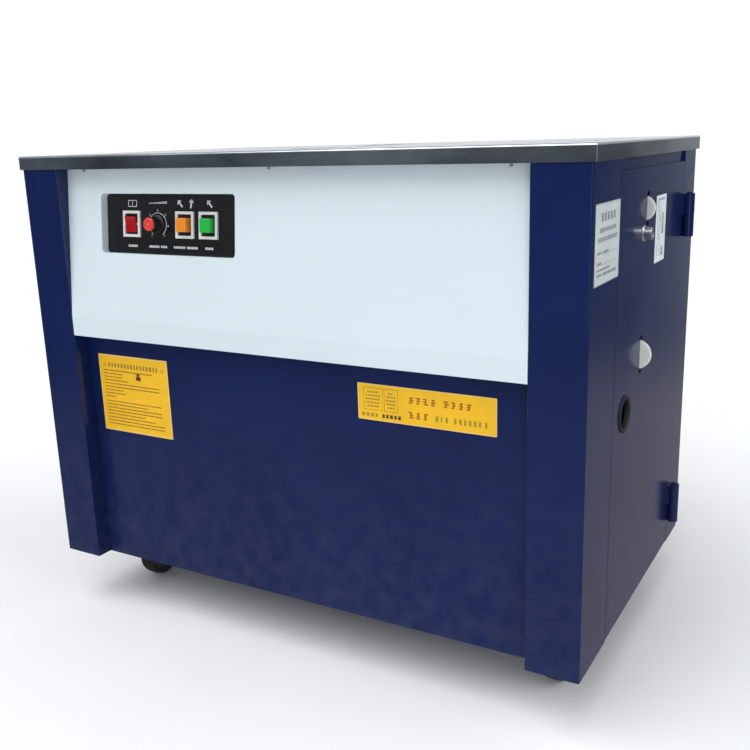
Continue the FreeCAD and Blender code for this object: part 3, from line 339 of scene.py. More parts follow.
@dataclass(frozen=True)
class RolledSteel(Finish):
    """Bright rolled or brushed steel: fine lines one way, smears, scratches, and a drifting tone of the colour; on
    the bright stainless that tone is stretched into streaks of painted reflection.
    """

    grain: tuple[float, float, float] = (0.02, 1, 1)
    reflection_streak_stretch: tuple[float, float, float] = (1, 1, 1)
    line: float = 0.12
    metallic: float = 1.0

    def dress(self, graph: Graph) -> None:
        """Adds the rolling lines, hand smears, a few scratches and the drifting tone, which is painted reflection
        where it is stretched into streaks.

        Args:
            graph: The material's nodes.
        """
        lines = graph.noise(900, 3, self.grain)
        smear = graph.noise(9, 5)
        scratch = graph.noise(240, 2, tuple(0.08 if part == 1 else 1.0 for part in self.grain))
        # Painted reflection: the tone drifts at random, and where its stretch is set it forms streaks of lighter
        # and darker steel that stand in for reflections.
        tone_and_painted_reflection = graph.blend(graph.span(graph.noise(7, 3, self.reflection_streak_stretch), 0, 1), self.shade(1 - self.drift),
                           self.shade(1 + self.drift))
        graph.join(tone_and_painted_reflection, graph.surface.inputs["Base Color"])
        base = graph.span(smear, self.roughness - 0.03, self.roughness + 0.07)
        graph.join(base, graph.surface.inputs["Roughness"])
        graph.relief((graph.noise(3, 1), 0.12, 3 * MM), (lines, self.line, 0.02 * MM), (scratch, 0.03, 0.04 * MM))


@dataclass(frozen=True)
class Moulded(Finish):
    """Moulded plastic or rubber: a fine grain that scatters the gloss."""

    grain: float = 1500
    depth: float = 0.25

    def dress(self, graph: Graph) -> None:
        """Adds the grain of the mould and finger marks in the gloss.

        Args:
            graph: The material's nodes.
        """
        super().dress(graph)
        gloss = graph.span(graph.noise(45, 4), self.roughness - 0.05, self.roughness + 0.08)
        graph.join(gloss, graph.surface.inputs["Roughness"])
        graph.relief((graph.noise(self.grain, 2), self.depth, 0.05 * MM))


@dataclass(frozen=True)
class Cast(Finish):
    """Painted or bare cast metal: lumpy skin."""

    lumps: float = 260

    def dress(self, graph: Graph) -> None:
        """Adds the sand-cast skin."""
        super().dress(graph)
        graph.relief((graph.noise(self.lumps, 5), 0.5, 0.5 * MM), (graph.noise(30, 2), 0.2, 1.5 * MM))


@dataclass(frozen=True)
class Spangled(Finish):
    """Zinc coat: crystals of slightly different greys."""

    crystals: float = 110
    metallic: float = 0.85

    def dress(self, graph: Graph) -> None:
        """Adds the crystals and a dull bloom.

        Args:
            graph: The material's nodes.
        """
        cells = graph.cells(self.crystals)
        grey = graph.blend(graph.span(cells, 0, 1, 0, 1), self.shade(0.75), self.shade(1.15))
        bloom = graph.blend(graph.span(graph.noise(25, 4), 0, 0.35, 0.5, 0.75), grey, (0.55, 0.56, 0.56))
        graph.join(bloom, graph.surface.inputs["Base Color"])
        graph.join(graph.span(cells, self.roughness - 0.08, self.roughness + 0.1, 0, 1),
                   graph.surface.inputs["Roughness"])
        graph.relief((graph.noise(300, 3), 0.15, 0.05 * MM))


@dataclass(frozen=True)
class Printed(Finish):
    """Ink or label film: nearly flat, with a faint weave and fading."""

    def dress(self, graph: Graph) -> None:
        """Adds slow fading and a slightly uneven film.

        Args:
            graph: The material's nodes.
        """
        faded = graph.blend(graph.span(graph.noise(30, 4), 0, 1), self.shade(0.93), self.shade(1.04))
        graph.join(faded, graph.surface.inputs["Base Color"])
        graph.relief((graph.noise(420, 3), 0.12, 0.05 * MM), (graph.noise(18, 1), 0.1, 0.6 * MM))


class Shelf:
    """The machine's finishes."""

    navy = Paint("navy_paint", (0.006, 0.0145, 0.073), 0.17, worn=(0.03, 0.045, 0.13), drift=0.12)
    white = Paint("white_paint", (0.63, 0.715, 0.76), 0.42, coat=0.1, worn=(0.5, 0.52, 0.52), drift=0.015,
                  waves=0.04, dust=0.0)
    motor_grey = Paint("motor_enamel", (0.11, 0.16, 0.22), 0.35, coat=0.2, worn=(0.3, 0.3, 0.3), dust=0.25)
    # Darker bluish colour with wide, streaky drift: partly the steel's own tone, partly painted reflection streaks.
    mirror_steel = RolledSteel("bright_stainless", (0.5, 0.54, 0.57), 0.2, drift=0.4, reflection_streak_stretch=(1, 0.25, 2.5))
    side_steel = RolledSteel("brushed_stainless", (0.6, 0.62, 0.63), 0.22, grain=(1, 0.02, 1), line=0.2)
    plated = RolledSteel("plated_steel", (0.55, 0.55, 0.53), 0.3, grain=(1, 1, 0.05), line=0.2)
    tool = RolledSteel("ground_tool_steel", (0.34, 0.34, 0.35), 0.3, grain=(1, 0.04, 1), line=0.3)
    brass = RolledSteel("turned_brass", (0.62, 0.45, 0.2), 0.3, grain=(1, 0.04, 1), line=0.2)
    copper = RolledSteel("copper_foil", (0.7, 0.33, 0.18), 0.35)
    chrome = RolledSteel("chrome_plate", (0.86, 0.87, 0.88), 0.16, line=0.02)
    alloy = RolledSteel("machined_alloy", (0.6, 0.6, 0.6), 0.32, grain=(1, 0.03, 1), line=0.3)
    zinc = Spangled("bright_zinc", (0.42, 0.43, 0.44), 0.36)
    box_zinc = Spangled("galvanised_sheet", (0.5, 0.52, 0.53), 0.4, crystals=45)
    cast = Cast("cast_iron_enamel", (0.1, 0.125, 0.15), 0.5, worn=(0.25, 0.25, 0.25))
    plate = Moulded("black_face_plate", (0.004, 0.005, 0.006), 0.3, worn=(0.05, 0.05, 0.05), depth=0.08)
    black = Moulded("black_plastic", (0.012, 0.012, 0.013), 0.42, worn=(0.07, 0.07, 0.07))
    bezel = Moulded("grey_bezel", (0.7, 0.71, 0.7), 0.38, worn=(0.55, 0.55, 0.55), depth=0.15)
    red = Moulded("red_rocker", (0.4, 0.004, 0.006), 0.2, coat=0.4, worn=(0.7, 0.2, 0.15), depth=0.05)
    pink = Moulded("red_knob", (0.66, 0.045, 0.04), 0.36, worn=(0.75, 0.3, 0.3), depth=0.15)
    orange = Moulded("orange_lens", (0.84, 0.25, 0.006), 0.2, coat=0.4, worn=(0.9, 0.5, 0.2), depth=0.05)
    green = Moulded("green_lens", (0.004, 0.47, 0.045), 0.2, coat=0.4, worn=(0.3, 0.6, 0.4), depth=0.05)
    nylon = Moulded("white_nylon", (0.78, 0.78, 0.75), 0.4, worn=(0.6, 0.58, 0.52), wear=0.6)
    hub = Moulded("dark_nylon", (0.035, 0.036, 0.038), 0.5, worn=(0.15, 0.15, 0.15))
    rubber = Moulded("black_rubber", (0.015, 0.015, 0.015), 0.62, worn=(0.09, 0.09, 0.09), grain=700, depth=0.4)
    tyre = Moulded("tyre_rubber", (0.014, 0.014, 0.014), 0.7, worn=(0.12, 0.115, 0.11), wear=0.7, grain=500,
                   depth=0.5)
    board = Moulded("reel_board", (0.05, 0.05, 0.055), 0.55, worn=(0.2, 0.2, 0.2), grain=300, depth=0.35)
    circuit = Moulded("circuit_board", (0.01, 0.12, 0.04), 0.35, worn=(0.1, 0.3, 0.15), depth=0.1)
    yellow = Printed("yellow_label", (0.86, 0.49, 0.004), 0.4)
    ink = Printed("dark_ink", (0.06, 0.045, 0.012), 0.5)
    dark_red_ink = Printed("dark_red_ink", (0.14, 0.01, 0.008), 0.5)
    brown_ink = Printed("brown_ink", (0.34, 0.17, 0.012), 0.5)
    olive_ink = Printed("olive_ink", (0.36, 0.25, 0.008), 0.5)
    cream = Printed("cream_border", (0.8, 0.62, 0.3), 0.5)
    red_ink = Printed("red_ink", (0.5, 0.13, 0.008), 0.5)
    silver = Printed("silver_label", (0.6, 0.64, 0.64), 0.45)
    white_label = Printed("white_label", (0.8, 0.84, 0.87), 0.45)
    white_ink = Printed("white_ink", (0.62, 0.62, 0.6), 0.5)
    grey_ink = Printed("grey_ink", (0.24, 0.26, 0.27), 0.5)


# ---------------------------------------------------------------- modelling


def turn_to(direction: Point) -> Matrix:
    """The rotation that takes Z to a direction."""
    return Vector(direction).to_track_quat("Z", "Y").to_matrix().to_4x4()


def sharp(angle: float) -> Chooser:
    """A chooser of edges whose faces turn by more than an angle in degrees."""
    limit = math.radians(angle)
    return lambda edge: edge.is_manifold and edge.calc_face_angle(0.0) > limit


def linked(seeds: Iterable[bmesh.types.BMVert]) -> set[bmesh.types.BMVert]:
    """Every vertex that edges join to the first ones.

    Args:
        seeds: The first vertices.

    Returns:
        Those vertices and all that they reach.
    """
    queue = list(seeds)
    reached = set(queue)
    while queue:
        for edge in queue.pop().link_edges:
            for vert in edge.verts:
                if vert not in reached:
                    reached.add(vert)
                    queue.append(vert)
    return reached


class Draft:
    """A mesh being modelled, which ends as a named piece that rides on a body."""

    def __init__(self, node: str = "", copied: bool = True) -> None:
        """Starts empty, or from a merged copy of a node's mesh with its flat faces whole.

        Args:
            node: The node that the piece stands for, or nothing.
            copied: Whether it starts from the node's own shape.
        """
        self.node = node
        self.mesh = bmesh.new()
        self.finishes: list[Finish] = []
        if node and copied:
            self.mesh.from_mesh(frame["nodes"][node].data)
            bmesh.ops.remove_doubles(self.mesh, verts=self.mesh.verts[:], dist=WELD)
            bmesh.ops.dissolve_limit(self.mesh, angle_limit=math.radians(0.4), verts=self.mesh.verts[:],
                                     edges=self.mesh.edges[:])
            for face in self.mesh.faces:
                face.material_index = 0

    def _paint(self, verts: Iterable[bmesh.types.BMVert], finish: Finish) -> None:
        """Gives the faces of new vertices their finish.

        Args:
            verts: The new vertices.
            finish: Their finish.
        """
        if finish not in self.finishes:
            self.finishes.append(finish)
        index = self.finishes.index(finish)
        for face in {face for vert in verts for face in vert.link_faces}:
            face.material_index = index

    def block(self, low: Point, high: Point, finish: Finish, ground: Matrix = Matrix(),
              edge: float = 0.0) -> None:
        """Adds a block between two corners, with rounded edges if edge is given.

        Args:
            low: Lowest corner, in the ground's own axes.
            high: Highest corner.
            finish: The block's finish.
            ground: The axes that the corners are in.
            edge: Radius of its edges, in metres.
        """
        size = Vector(high) - Vector(low)
        middle = (Vector(high) + Vector(low)) / 2
        matrix = ground @ Matrix.Translation(middle) @ Matrix.Diagonal((*size, 1))
        verts = bmesh.ops.create_cube(self.mesh, size=1.0, matrix=matrix)["verts"]
        self._paint(verts, finish)
        if edge:
            edges = list({item for vert in verts for item in vert.link_edges})
            bmesh.ops.bevel(self.mesh, geom=edges, offset=edge, affect="EDGES", segments=2, profile=0.5,
                            material=-1, clamp_overlap=True)

    def rod(self, start: Point, end: Point, radius: float, finish: Finish, steps: int = 24,
            tip: float = 0.0, far: float | None = None) -> None:
        """Adds a round, or with few steps a prismatic, rod between two points.

        Args:
            start: Middle of one end.
            end: Middle of the other end.
            radius: Radius at the start.
            finish: The rod's finish.
            steps: Sides of the rod.
            tip: Width of the chamfer round both ends.
            far: Radius at the end, if it differs.
        """
        run = Vector(end) - Vector(start)
        matrix = Matrix.Translation((Vector(start) + Vector(end)) / 2) @ turn_to(run)
        verts = bmesh.ops.create_cone(self.mesh, cap_ends=True, segments=steps, radius1=radius,
                                      radius2=radius if far is None else far, depth=run.length,
                                      matrix=matrix)["verts"]
        self._paint(verts, finish)
        if tip:
            rims = [edge for edge in {item for vert in verts for item in vert.link_edges}
                    if any(len(face.verts) == steps and steps > 4 for face in edge.link_faces)]
            bmesh.ops.bevel(self.mesh, geom=rims, offset=tip, affect="EDGES", segments=2, profile=0.5,
                            material=-1, clamp_overlap=True)

    def turned(self, profile: Sequence[tuple[float, float]], centre: Point, axis: Point, finish: Finish,
               steps: int = 48) -> None:
        """Adds a shape turned about an axis.

        Args:
            profile: Points of (radius, distance along the axis); a closed ring unless it meets the axis.
            centre: Where the distances start.
            axis: The axis's direction.
            finish: The shape's finish.
            steps: Steps of the full turn.
        """
        verts = [self.mesh.verts.new((radius, 0, along)) for radius, along in profile]
        open_ended = profile[0][0] < 1e-7 and profile[-1][0] < 1e-7
        pairs = list(zip(verts, verts[1:])) + ([] if open_ended else [(verts[-1], verts[0])])
        edges = [self.mesh.edges.new(pair) for pair in pairs]
        made = bmesh.ops.spin(self.mesh, geom=verts + edges, cent=(0, 0, 0), axis=(0, 0, 1),
                              angle=2 * math.pi, steps=steps, use_merge=True)
        last = [item for item in made["geom_last"] if isinstance(item, bmesh.types.BMVert)]
        reached = linked(verts + last)
        bmesh.ops.remove_doubles(self.mesh, verts=list(reached), dist=WELD)
        reached = {vert for vert in reached if vert.is_valid}
        faces = list({face for vert in reached for face in vert.link_faces})
        bmesh.ops.recalc_face_normals(self.mesh, faces=faces)
        bmesh.ops.transform(self.mesh, matrix=Matrix.Translation(centre) @ turn_to(axis), verts=list(reached))
        self._paint(reached, finish)

    def digit(self, text: str, height: float, ground: Matrix, finish: Finish) -> None:
        """Adds a number as a thin raised print, centred on its ground.

        Args:
            text: The number.
            height: Height of the figures, in metres.
            ground: Axes of the print: across, up and out.
            finish: Its ink.
        """
        curve = bpy.data.curves.new("figure", "FONT")
        curve.body = text
        curve.size = height / 0.7
        curve.align_x = "CENTER"
        curve.align_y = "CENTER"
        curve.extrude = 0.06 * MM
        curve.resolution_u = 3
        holder = bpy.data.objects.new("figure", curve)
        flat = bpy.data.meshes.new_from_object(holder)
        flat.transform(ground)
        known = len(self.mesh.verts)
        self.mesh.from_mesh(flat)
        self.mesh.verts.ensure_lookup_table()
        self._paint(self.mesh.verts[known:], finish)
        bpy.data.objects.remove(holder)
        bpy.data.curves.remove(curve)
        bpy.data.meshes.remove(flat)

    def soften(self, width: float, segments: int = 2, choose: Chooser = sharp(30)) -> "Draft":
        """Rounds the chosen edges.

        Args:
            width: Width of the rounding, in metres.
            segments: Strips in each rounding.
            choose: Says which edges are rounded.

        Returns:
            This draft.
        """
        edges = [edge for edge in self.mesh.edges if choose(edge)]
        if edges:
            bmesh.ops.bevel(self.mesh, geom=edges, offset=width, offset_type="OFFSET", affect="EDGES",
                            segments=segments, profile=0.5, material=-1, clamp_overlap=True)
        return self

    def publish(self, name: str, body: str, slot: str, *finishes: Finish) -> bpy.types.Object:
        """Ends the modelling: makes the piece, dresses it and lets it ride.

        Args:
            name: The piece's name.
            body: The body that it moves with.
            slot: Not used.
            finishes: Finishes of a copied node; a new shape has its own.

        Returns:
            The finished piece.
        """
        data = bpy.data.meshes.new(name)
        self.mesh.to_mesh(data)
        self.mesh.free()
        if "custom_normal" in data.attributes:
            data.attributes.remove(data.attributes["custom_normal"])
        for finish in finishes or self.finishes:
            data.materials.append(finish.material())
        data.shade_smooth()
        data.set_sharp_from_angle(angle=math.radians(38))
        piece = bpy.data.objects.new(name, data)
        bpy.context.scene.collection.objects.link(piece)
        shading = piece.modifiers.new("even_shading", "WEIGHTED_NORMAL")
        shading.keep_sharp = True
        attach(piece, body)
        log.info("%s rides on %s: %d faces", name, body, len(data.polygons))
        return piece

    def stand_for(self, name: str, *finishes: Finish, others: Sequence[str] = ()) -> bpy.types.Object:
        """Publishes the piece in place of its node, and of other nodes if any are named.

        Args:
            name: The piece's name.
            finishes: Finishes of a copied node.

        Returns:
            The finished piece.
        """
        piece = self.publish(name, BODY_OF[self.node], SLOT_OF[self.node], *finishes)
        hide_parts(self.node, *others)
        return piece


def carry(node: str, finish: Finish, width: float = 0.5 * MM, segments: int = 2) -> bpy.types.Object:
    """A node's shape with rounded edges and a finish of its own.

    Args:
        node: The node.
        finish: Its finish.
        width: Width of its rounded edges.
        segments: Strips in each rounding.

    Returns:
        The piece that stands for the node.
    """
    return Draft(node).soften(width, segments).stand_for(f"{node}_finished", finish)


def lumps(node: str) -> list[tuple[Vector, Vector]]:
    """The boxes of a node's separate solids, as pairs of lowest and highest corners.

    Args:
        node: The node.

    Returns:
        The boxes, in the order of their lowest corners.
    """
    shape = bmesh.new()
    shape.from_mesh(frame["nodes"][node].data)
    bmesh.ops.remove_doubles(shape, verts=shape.verts[:], dist=WELD)
    left, found = set(shape.verts), []
    while left:
        members = linked([left.pop()])
        left -= members
        low = Vector([min(vert.co[axis] for vert in members) for axis in range(3)])
        high = Vector([max(vert.co[axis] for vert in members) for axis in range(3)])
        found.append((low, high))
    shape.free()
    return sorted(found, key=lambda pair: tuple(round(part, 5) for part in pair[0]))


def axes(origin: Point, across: Point, up: Point) -> Matrix:
    """Axes for flat work: across, up and out of the surface.

    Args:
        origin: Where the axes start.
        across: First direction.
        up: Second direction.

    Returns:
        The axes as a matrix.
    """
    one, two = Vector(across).normalized(), Vector(up).normalized()
    out = one.cross(two)
    turn = Matrix((one, two, out)).transposed().to_4x4()
    return Matrix.Translation(origin) @ turn


# ---------------------------------------------------------------- sub-assemblies


@dataclass
class Studio:
    """Camera, floor, surroundings and soft lights."""

    camera_at: Point = (0.7387, -1.253, 0.7476)
    camera_turn: Point = (75.519, 1.746, 29.68)
    lens: float = 44.25
    floor_size: float = 60.0
    backdrop: Point = (-0.503, 0.864, 0.0)
    wall: Colour = (1.02, 1.03, 1.05)
    wall_fades: tuple[tuple[float, float], ...] = ((0.7, 0.88), (0.4, 0.14))
    room: tuple[tuple[float, Colour], ...] = (
        (-1.0, (0.3, 0.28, 0.27)), (-0.28, (0.26, 0.24, 0.235)), (-0.2, (0.03, 0.04, 0.055)),
        (0.012, (0.03, 0.04, 0.055)), (0.05, (0.34, 0.36, 0.385)), (1.0, (0.45, 0.47, 0.5)))
    overhead: tuple[Point, float, float] = ((-0.22, -0.58, 1.0), 60, 2.05)
    from_right: tuple[Point, float, float] = ((0.9, 0.2, 0.75), 50, 0.75)
    strip_at: Point = (1.5, -2.1, 0.85)
    strip_aim: Point = (0.4, -0.2, 0.45)
    strip_size: tuple[float, float] = (0.5, 1.6)
    strip_power: float = 7.0

    def build(self) -> None:
        """Makes the camera, the floor, the surroundings and the lamps."""
        lens = bpy.data.cameras.new("camera")
        lens.lens = self.lens
        camera = bpy.data.objects.new("camera", lens)
        camera.location = self.camera_at
        camera.rotation_euler = Euler([math.radians(part) for part in self.camera_turn])
        bpy.context.scene.collection.objects.link(camera)
        bpy.context.scene.camera = camera
        bpy.context.scene.view_settings.view_transform = "Standard"
        self._floor()
        self._surroundings()
        self._lamp("overhead_softbox", *self.overhead)
        self._strip_light()
        self._lamp("right_softbox", *self.from_right)

    def _floor(self) -> None:
        """A pale matt floor with a faint unevenness, which the machine's gloss doesn't mirror."""
        draft = Draft()
        half = self.floor_size / 2
        bmesh.ops.create_grid(draft.mesh, x_segments=4, y_segments=4, size=half)
        data = bpy.data.meshes.new("floor")
        draft.mesh.to_mesh(data)
        draft.mesh.free()
        graph = Graph("pale_floor", 0.85, 0.0, 0.0)
        pale = graph.blend(graph.span(graph.noise(3, 3), 0, 1), (0.9, 0.9, 0.9), (0.93, 0.93, 0.93))
        graph.join(pale, graph.surface.inputs["Base Color"])
        data.materials.append(graph.material)
        floor = bpy.data.objects.new("floor", data)
        floor.visible_glossy = False
        bpy.context.scene.collection.objects.link(floor)

    def _surroundings(self) -> None:
        """A bright wall behind the machine; elsewhere a room with a dark line where its walls meet the ground.

        The room only lights the machine and shows in its gloss: behind the machine, every view sees the plain wall.
        """
        world = bpy.data.worlds.new("studio")
        world.use_nodes = True
        tree = world.node_tree
        join = tree.links.new

        def add(kind: str, **settings: object) -> bpy.types.Node:
            """Adds a node and sets its own properties.

            Args:
                kind: The node's type.
                settings: Values of the node's own properties.

            Returns:
                The new node.
            """
            node = tree.nodes.new(kind)
            for key, value in settings.items():
                setattr(node, key, value)
            return node

        direction = add("ShaderNodeTexCoord").outputs["Generated"]
        toward = add("ShaderNodeVectorMath", operation="DOT_PRODUCT")
        toward.inputs[1].default_value = self.backdrop
        join(direction, toward.inputs[0])
        level = add("ShaderNodeSeparateXYZ")
        join(direction, level.inputs["Vector"])
        both = add("ShaderNodeMath", operation="MULTIPLY")
        sources = (toward.outputs["Value"], level.outputs["Z"])
        for index, (value, (start, end)) in enumerate(zip(sources, self.wall_fades)):
            share = add("ShaderNodeMapRange", interpolation_type="SMOOTHSTEP")
            share.inputs["From Min"].default_value = start
            share.inputs["From Max"].default_value = end
            join(value, share.inputs["Value"])
            join(share.outputs["Result"], both.inputs[index])
        place = add("ShaderNodeMapRange")
        place.inputs["From Min"].default_value = -1.0
        join(level.outputs["Z"], place.inputs["Value"])
        ramp = add("ShaderNodeValToRGB")
        stops = ramp.color_ramp.elements
        while len(stops) < len(self.room):
            stops.new(0.5)
        for stop, (height, colour) in zip(stops, self.room):
            stop.position = (height + 1) / 2
            stop.color = (*colour, 1.0)
        join(place.outputs["Result"], ramp.inputs["Fac"])
        below = ramp.outputs["Color"]
        for share in (both.outputs[0], add("ShaderNodeLightPath").outputs["Is Camera Ray"]):
            mixed = add("ShaderNodeMix", data_type="RGBA")
            mixed.inputs[7].default_value = (*self.wall, 1.0)
            join(share, mixed.inputs[0])
            join(below, mixed.inputs[6])
            below = mixed.outputs[2]
        join(below, tree.nodes["Background"].inputs["Color"])
        bpy.context.scene.world = world

    def _strip_light(self) -> None:
        """A tall narrow light at the right front, which draws the rounded upright edges."""
        lamp = bpy.data.lights.new("strip_light", "AREA")
        lamp.shape = "RECTANGLE"
        lamp.size, lamp.size_y = self.strip_size
        lamp.energy = self.strip_power
        holder = bpy.data.objects.new("strip_light", lamp)
        holder.location = self.strip_at
        away = Vector(self.strip_aim) - Vector(self.strip_at)
        holder.rotation_euler = away.to_track_quat("-Z", "Y").to_euler()
        holder.visible_camera = False
        bpy.context.scene.collection.objects.link(holder)

    def _lamp(self, name: str, place: Point, spread: float, strength: float) -> None:
        """A distant soft light from a direction, as wide as its spread in degrees.

        Args:
            name: The light's name.
            place: The direction that it comes from.
            spread: Its width.
            strength: Its strength.
        """
        lamp = bpy.data.lights.new(name, "SUN")
        lamp.angle = math.radians(spread)
        lamp.energy = strength
        holder = bpy.data.objects.new(name, lamp)
        holder.location = Vector(place) * 3
        holder.rotation_euler = Vector(place).to_track_quat("Z", "Y").to_euler()
        bpy.context.scene.collection.objects.link(holder)


@dataclass
class Cabinet:
    """Posts, panels, tray and rails."""

    fold: float = 2.0 * MM
    sheet_edge: float = 0.4 * MM
    crease: float = 1.0 * MM
    lean: float = math.atan2(23, 221)
    stop: tuple[float, float] = (0.4372, 0.4396)

    def build(self) -> None:
        """Makes every fixed sheet of the cabinet."""
        for node in ("front_posts", "rear_posts"):
            self._posts(node)
        carry("lower_front_panel", Shelf.navy, self.sheet_edge)
        carry("rear_panel", Shelf.navy, self.sheet_edge)
        carry("base_frame", Shelf.navy, self.sheet_edge)
        self._rails()
        self._upper_panel()

    def _posts(self, node: str) -> None:
        """A pair of folded posts, rounder at the outside corner than elsewhere.

        Args:
            node: The pair's node.
        """
        low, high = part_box(node)
        end = low.y if abs(low.y) > abs(high.y) else high.y

        def outer(edge: bmesh.types.BMEdge) -> bool:
            """Whether an edge is the upright one at the outside corner.

            Args:
                edge: The edge.

            Returns:
                True for that edge.
            """
            first, second = edge.verts
            upright = abs(first.co.x - second.co.x) < WELD and abs(first.co.y - second.co.y) < WELD
            return upright and abs(abs(first.co.x) - high.x) < WELD and abs(first.co.y - end) < WELD

        draft = Draft(node).soften(self.fold, 4, outer)
        draft.soften(self.sheet_edge, 1).stand_for(f"{node}_folded", Shelf.navy)

    def _rails(self) -> None:
        """The rails under the table, with the narrow stop that closes the gap above each door."""
        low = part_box("top_rails")[0]
        draft = Draft("top_rails").soften(self.sheet_edge)
        draft.finishes = [Shelf.navy]
        for side in Side:
            door_low, door_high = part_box(f"{side.name.lower()}_door")
            inner, outer = sorted(side.value * reach for reach in self.stop)
            draft.block((inner, door_low.y + 0.5 * MM, door_high.z + 0.4 * MM),
                        (outer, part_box("rear_posts")[0].y - 1.5 * MM, low.z + 3 * MM), Shelf.navy)
        draft.stand_for("top_rails_finished", Shelf.navy)

    def _upper_panel(self) -> None:
        """The white leaning panel, with a soft crease above its lip."""
        draft = Draft("upper_front_panel").soften(self.crease, 2, sharp(3))
        draft.stand_for("upper_front_panel_folded", Shelf.white)


@dataclass
class SideDoor:
    """One side door with its lock; the right one has the strap inlet and the two tension wheels too."""

    side: Side
    fold: float = 1.4 * MM

    def build(self) -> None:
        """Makes the door and what it carries."""
        name = self.side.name.lower()
        low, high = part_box(f"{name}_door")
        skin = self.side.value * SKIN
        limits = ((1, low.y), (1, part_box("rear_posts")[0].y - MM), (2, low.z), (2, high.z))

        def outer(edge: bmesh.types.BMEdge) -> bool:
            """Whether an edge is on the outline of the door's skin.

            Args:
                edge: The edge.

            Returns:
                True on the outline.
            """
            first, second = edge.verts
            on_skin = all(abs(vert.co.x - skin) < NEAR for vert in (first, second))
            return on_skin and any(all(abs(vert.co[axis] - at) < NEAR for vert in (first, second))
                                   for axis, at in limits)

        draft = Draft(f"{name}_door").soften(self.fold, 3, outer).soften(0.3 * MM, 1, sharp(50))
        draft.stand_for(f"{name}_door_folded", Shelf.navy)
        self._lock(name)
        if self.side is Side.RIGHT:
            self._inlet()
            for height in ("high", "low"):
                self._tension_wheel(f"{height}_tension_wheel")
            carry("tension_brackets", Shelf.plated, 0.6 * MM)

    def _lock(self, name: str) -> None:
        """The chromed lock with a beaded rim, and its plug.

        Args:
            name: The door's side, as it stands in the names of its nodes.
        """
        node = f"{name}_lock_housing"
        low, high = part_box(node)
        carry(node, Shelf.chrome, 0.9 * MM, 3)
        carry(f"{name}_lock_plug", Shelf.plated, 0.4 * MM)
        centre = (low + high) / 2
        face = high.x if self.side is Side.RIGHT else low.x
        reach = 8.0 * MM
        draft = Draft()
        skin = self.side.value * SKIN
        draft.turned([(reach + 2.4 * MM, 0), (reach + 1.9 * MM, 0.9 * MM), (reach + 0.4 * MM, 1.3 * MM),
                      (reach + 0.1 * MM, 1.1 * MM), (reach + 0.1 * MM, 0)],
                     (skin, centre.y, centre.z), (self.side.value, 0, 0), Shelf.chrome)
        draft.turned([(reach - 0.2 * MM, 0), (reach - 0.5 * MM, 0.35 * MM), (reach - 2.2 * MM, 0.35 * MM),
                      (reach - 2.4 * MM, 0)],
                     (face - self.side.value * 0.4 * MM, centre.y, centre.z), (self.side.value, 0, 0),
                     Shelf.chrome)
        draft.publish(f"{name}_lock_rim", BODY_OF[node], SLOT_OF[node])

    def _inlet(self) -> None:
        """The rubber grommet of the strap inlet, with a rolled rim."""
        low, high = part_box("strap_inlet_grommet")
        middle, outer, bore = (low + high) / 2, (high.y - low.y) / 2, 19 * MM
        inside, skin = low.x, SKIN
        wall = skin - 1.5 * MM
        profile = [(bore, inside), (outer - 1.5 * MM, inside), (outer - 0.3 * MM, inside + 0.7 * MM),
                   (outer, wall - 0.05 * MM), (outer - 3.1 * MM, wall - 0.05 * MM),
                   (outer - 3.1 * MM, skin + 0.05 * MM), (outer, skin + 0.05 * MM),
                   (outer - 0.3 * MM, high.x - 0.9 * MM), (outer - 1.6 * MM, high.x - 0.2 * MM),
                   (outer - 3.2 * MM, high.x), (bore + 1.2 * MM, high.x - 0.5 * MM), (bore, high.x - 1.6 * MM)]
        draft = Draft("strap_inlet_grommet", copied=False)
        draft.turned([(radius, along - inside) for radius, along in profile],
                     (inside, middle.y, middle.z), (1, 0, 0), Shelf.rubber, 64)
        draft.stand_for("strap_inlet_grommet_rolled")

    def _tension_wheel(self, node: str) -> None:
        """A white wheel with a rounded rim, on its steel spindle.

        Args:
            node: The wheel's node.
        """
        low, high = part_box(node)
        middle, radius = (low + high) / 2, (high.z - low.z) / 2
        half, thick, spindle = (high.y - low.y) / 2, 3 * MM, 4 * MM
        draft = Draft(node, copied=False)
        draft.turned([(spindle, -thick), (radius - 1.2 * MM, -thick), (radius, -thick + 1.0 * MM),
                      (radius, thick - 1.0 * MM), (radius - 1.2 * MM, thick), (spindle, thick)],
                     middle, (0, 1, 0), Shelf.nylon, 72)
        draft.rod(middle - Vector((0, half, 0)), middle + Vector((0, half, 0)), spindle - 0.02 * MM,
                  Shelf.plated, 24, 0.5 * MM)
        draft.stand_for(f"{node}_turned")


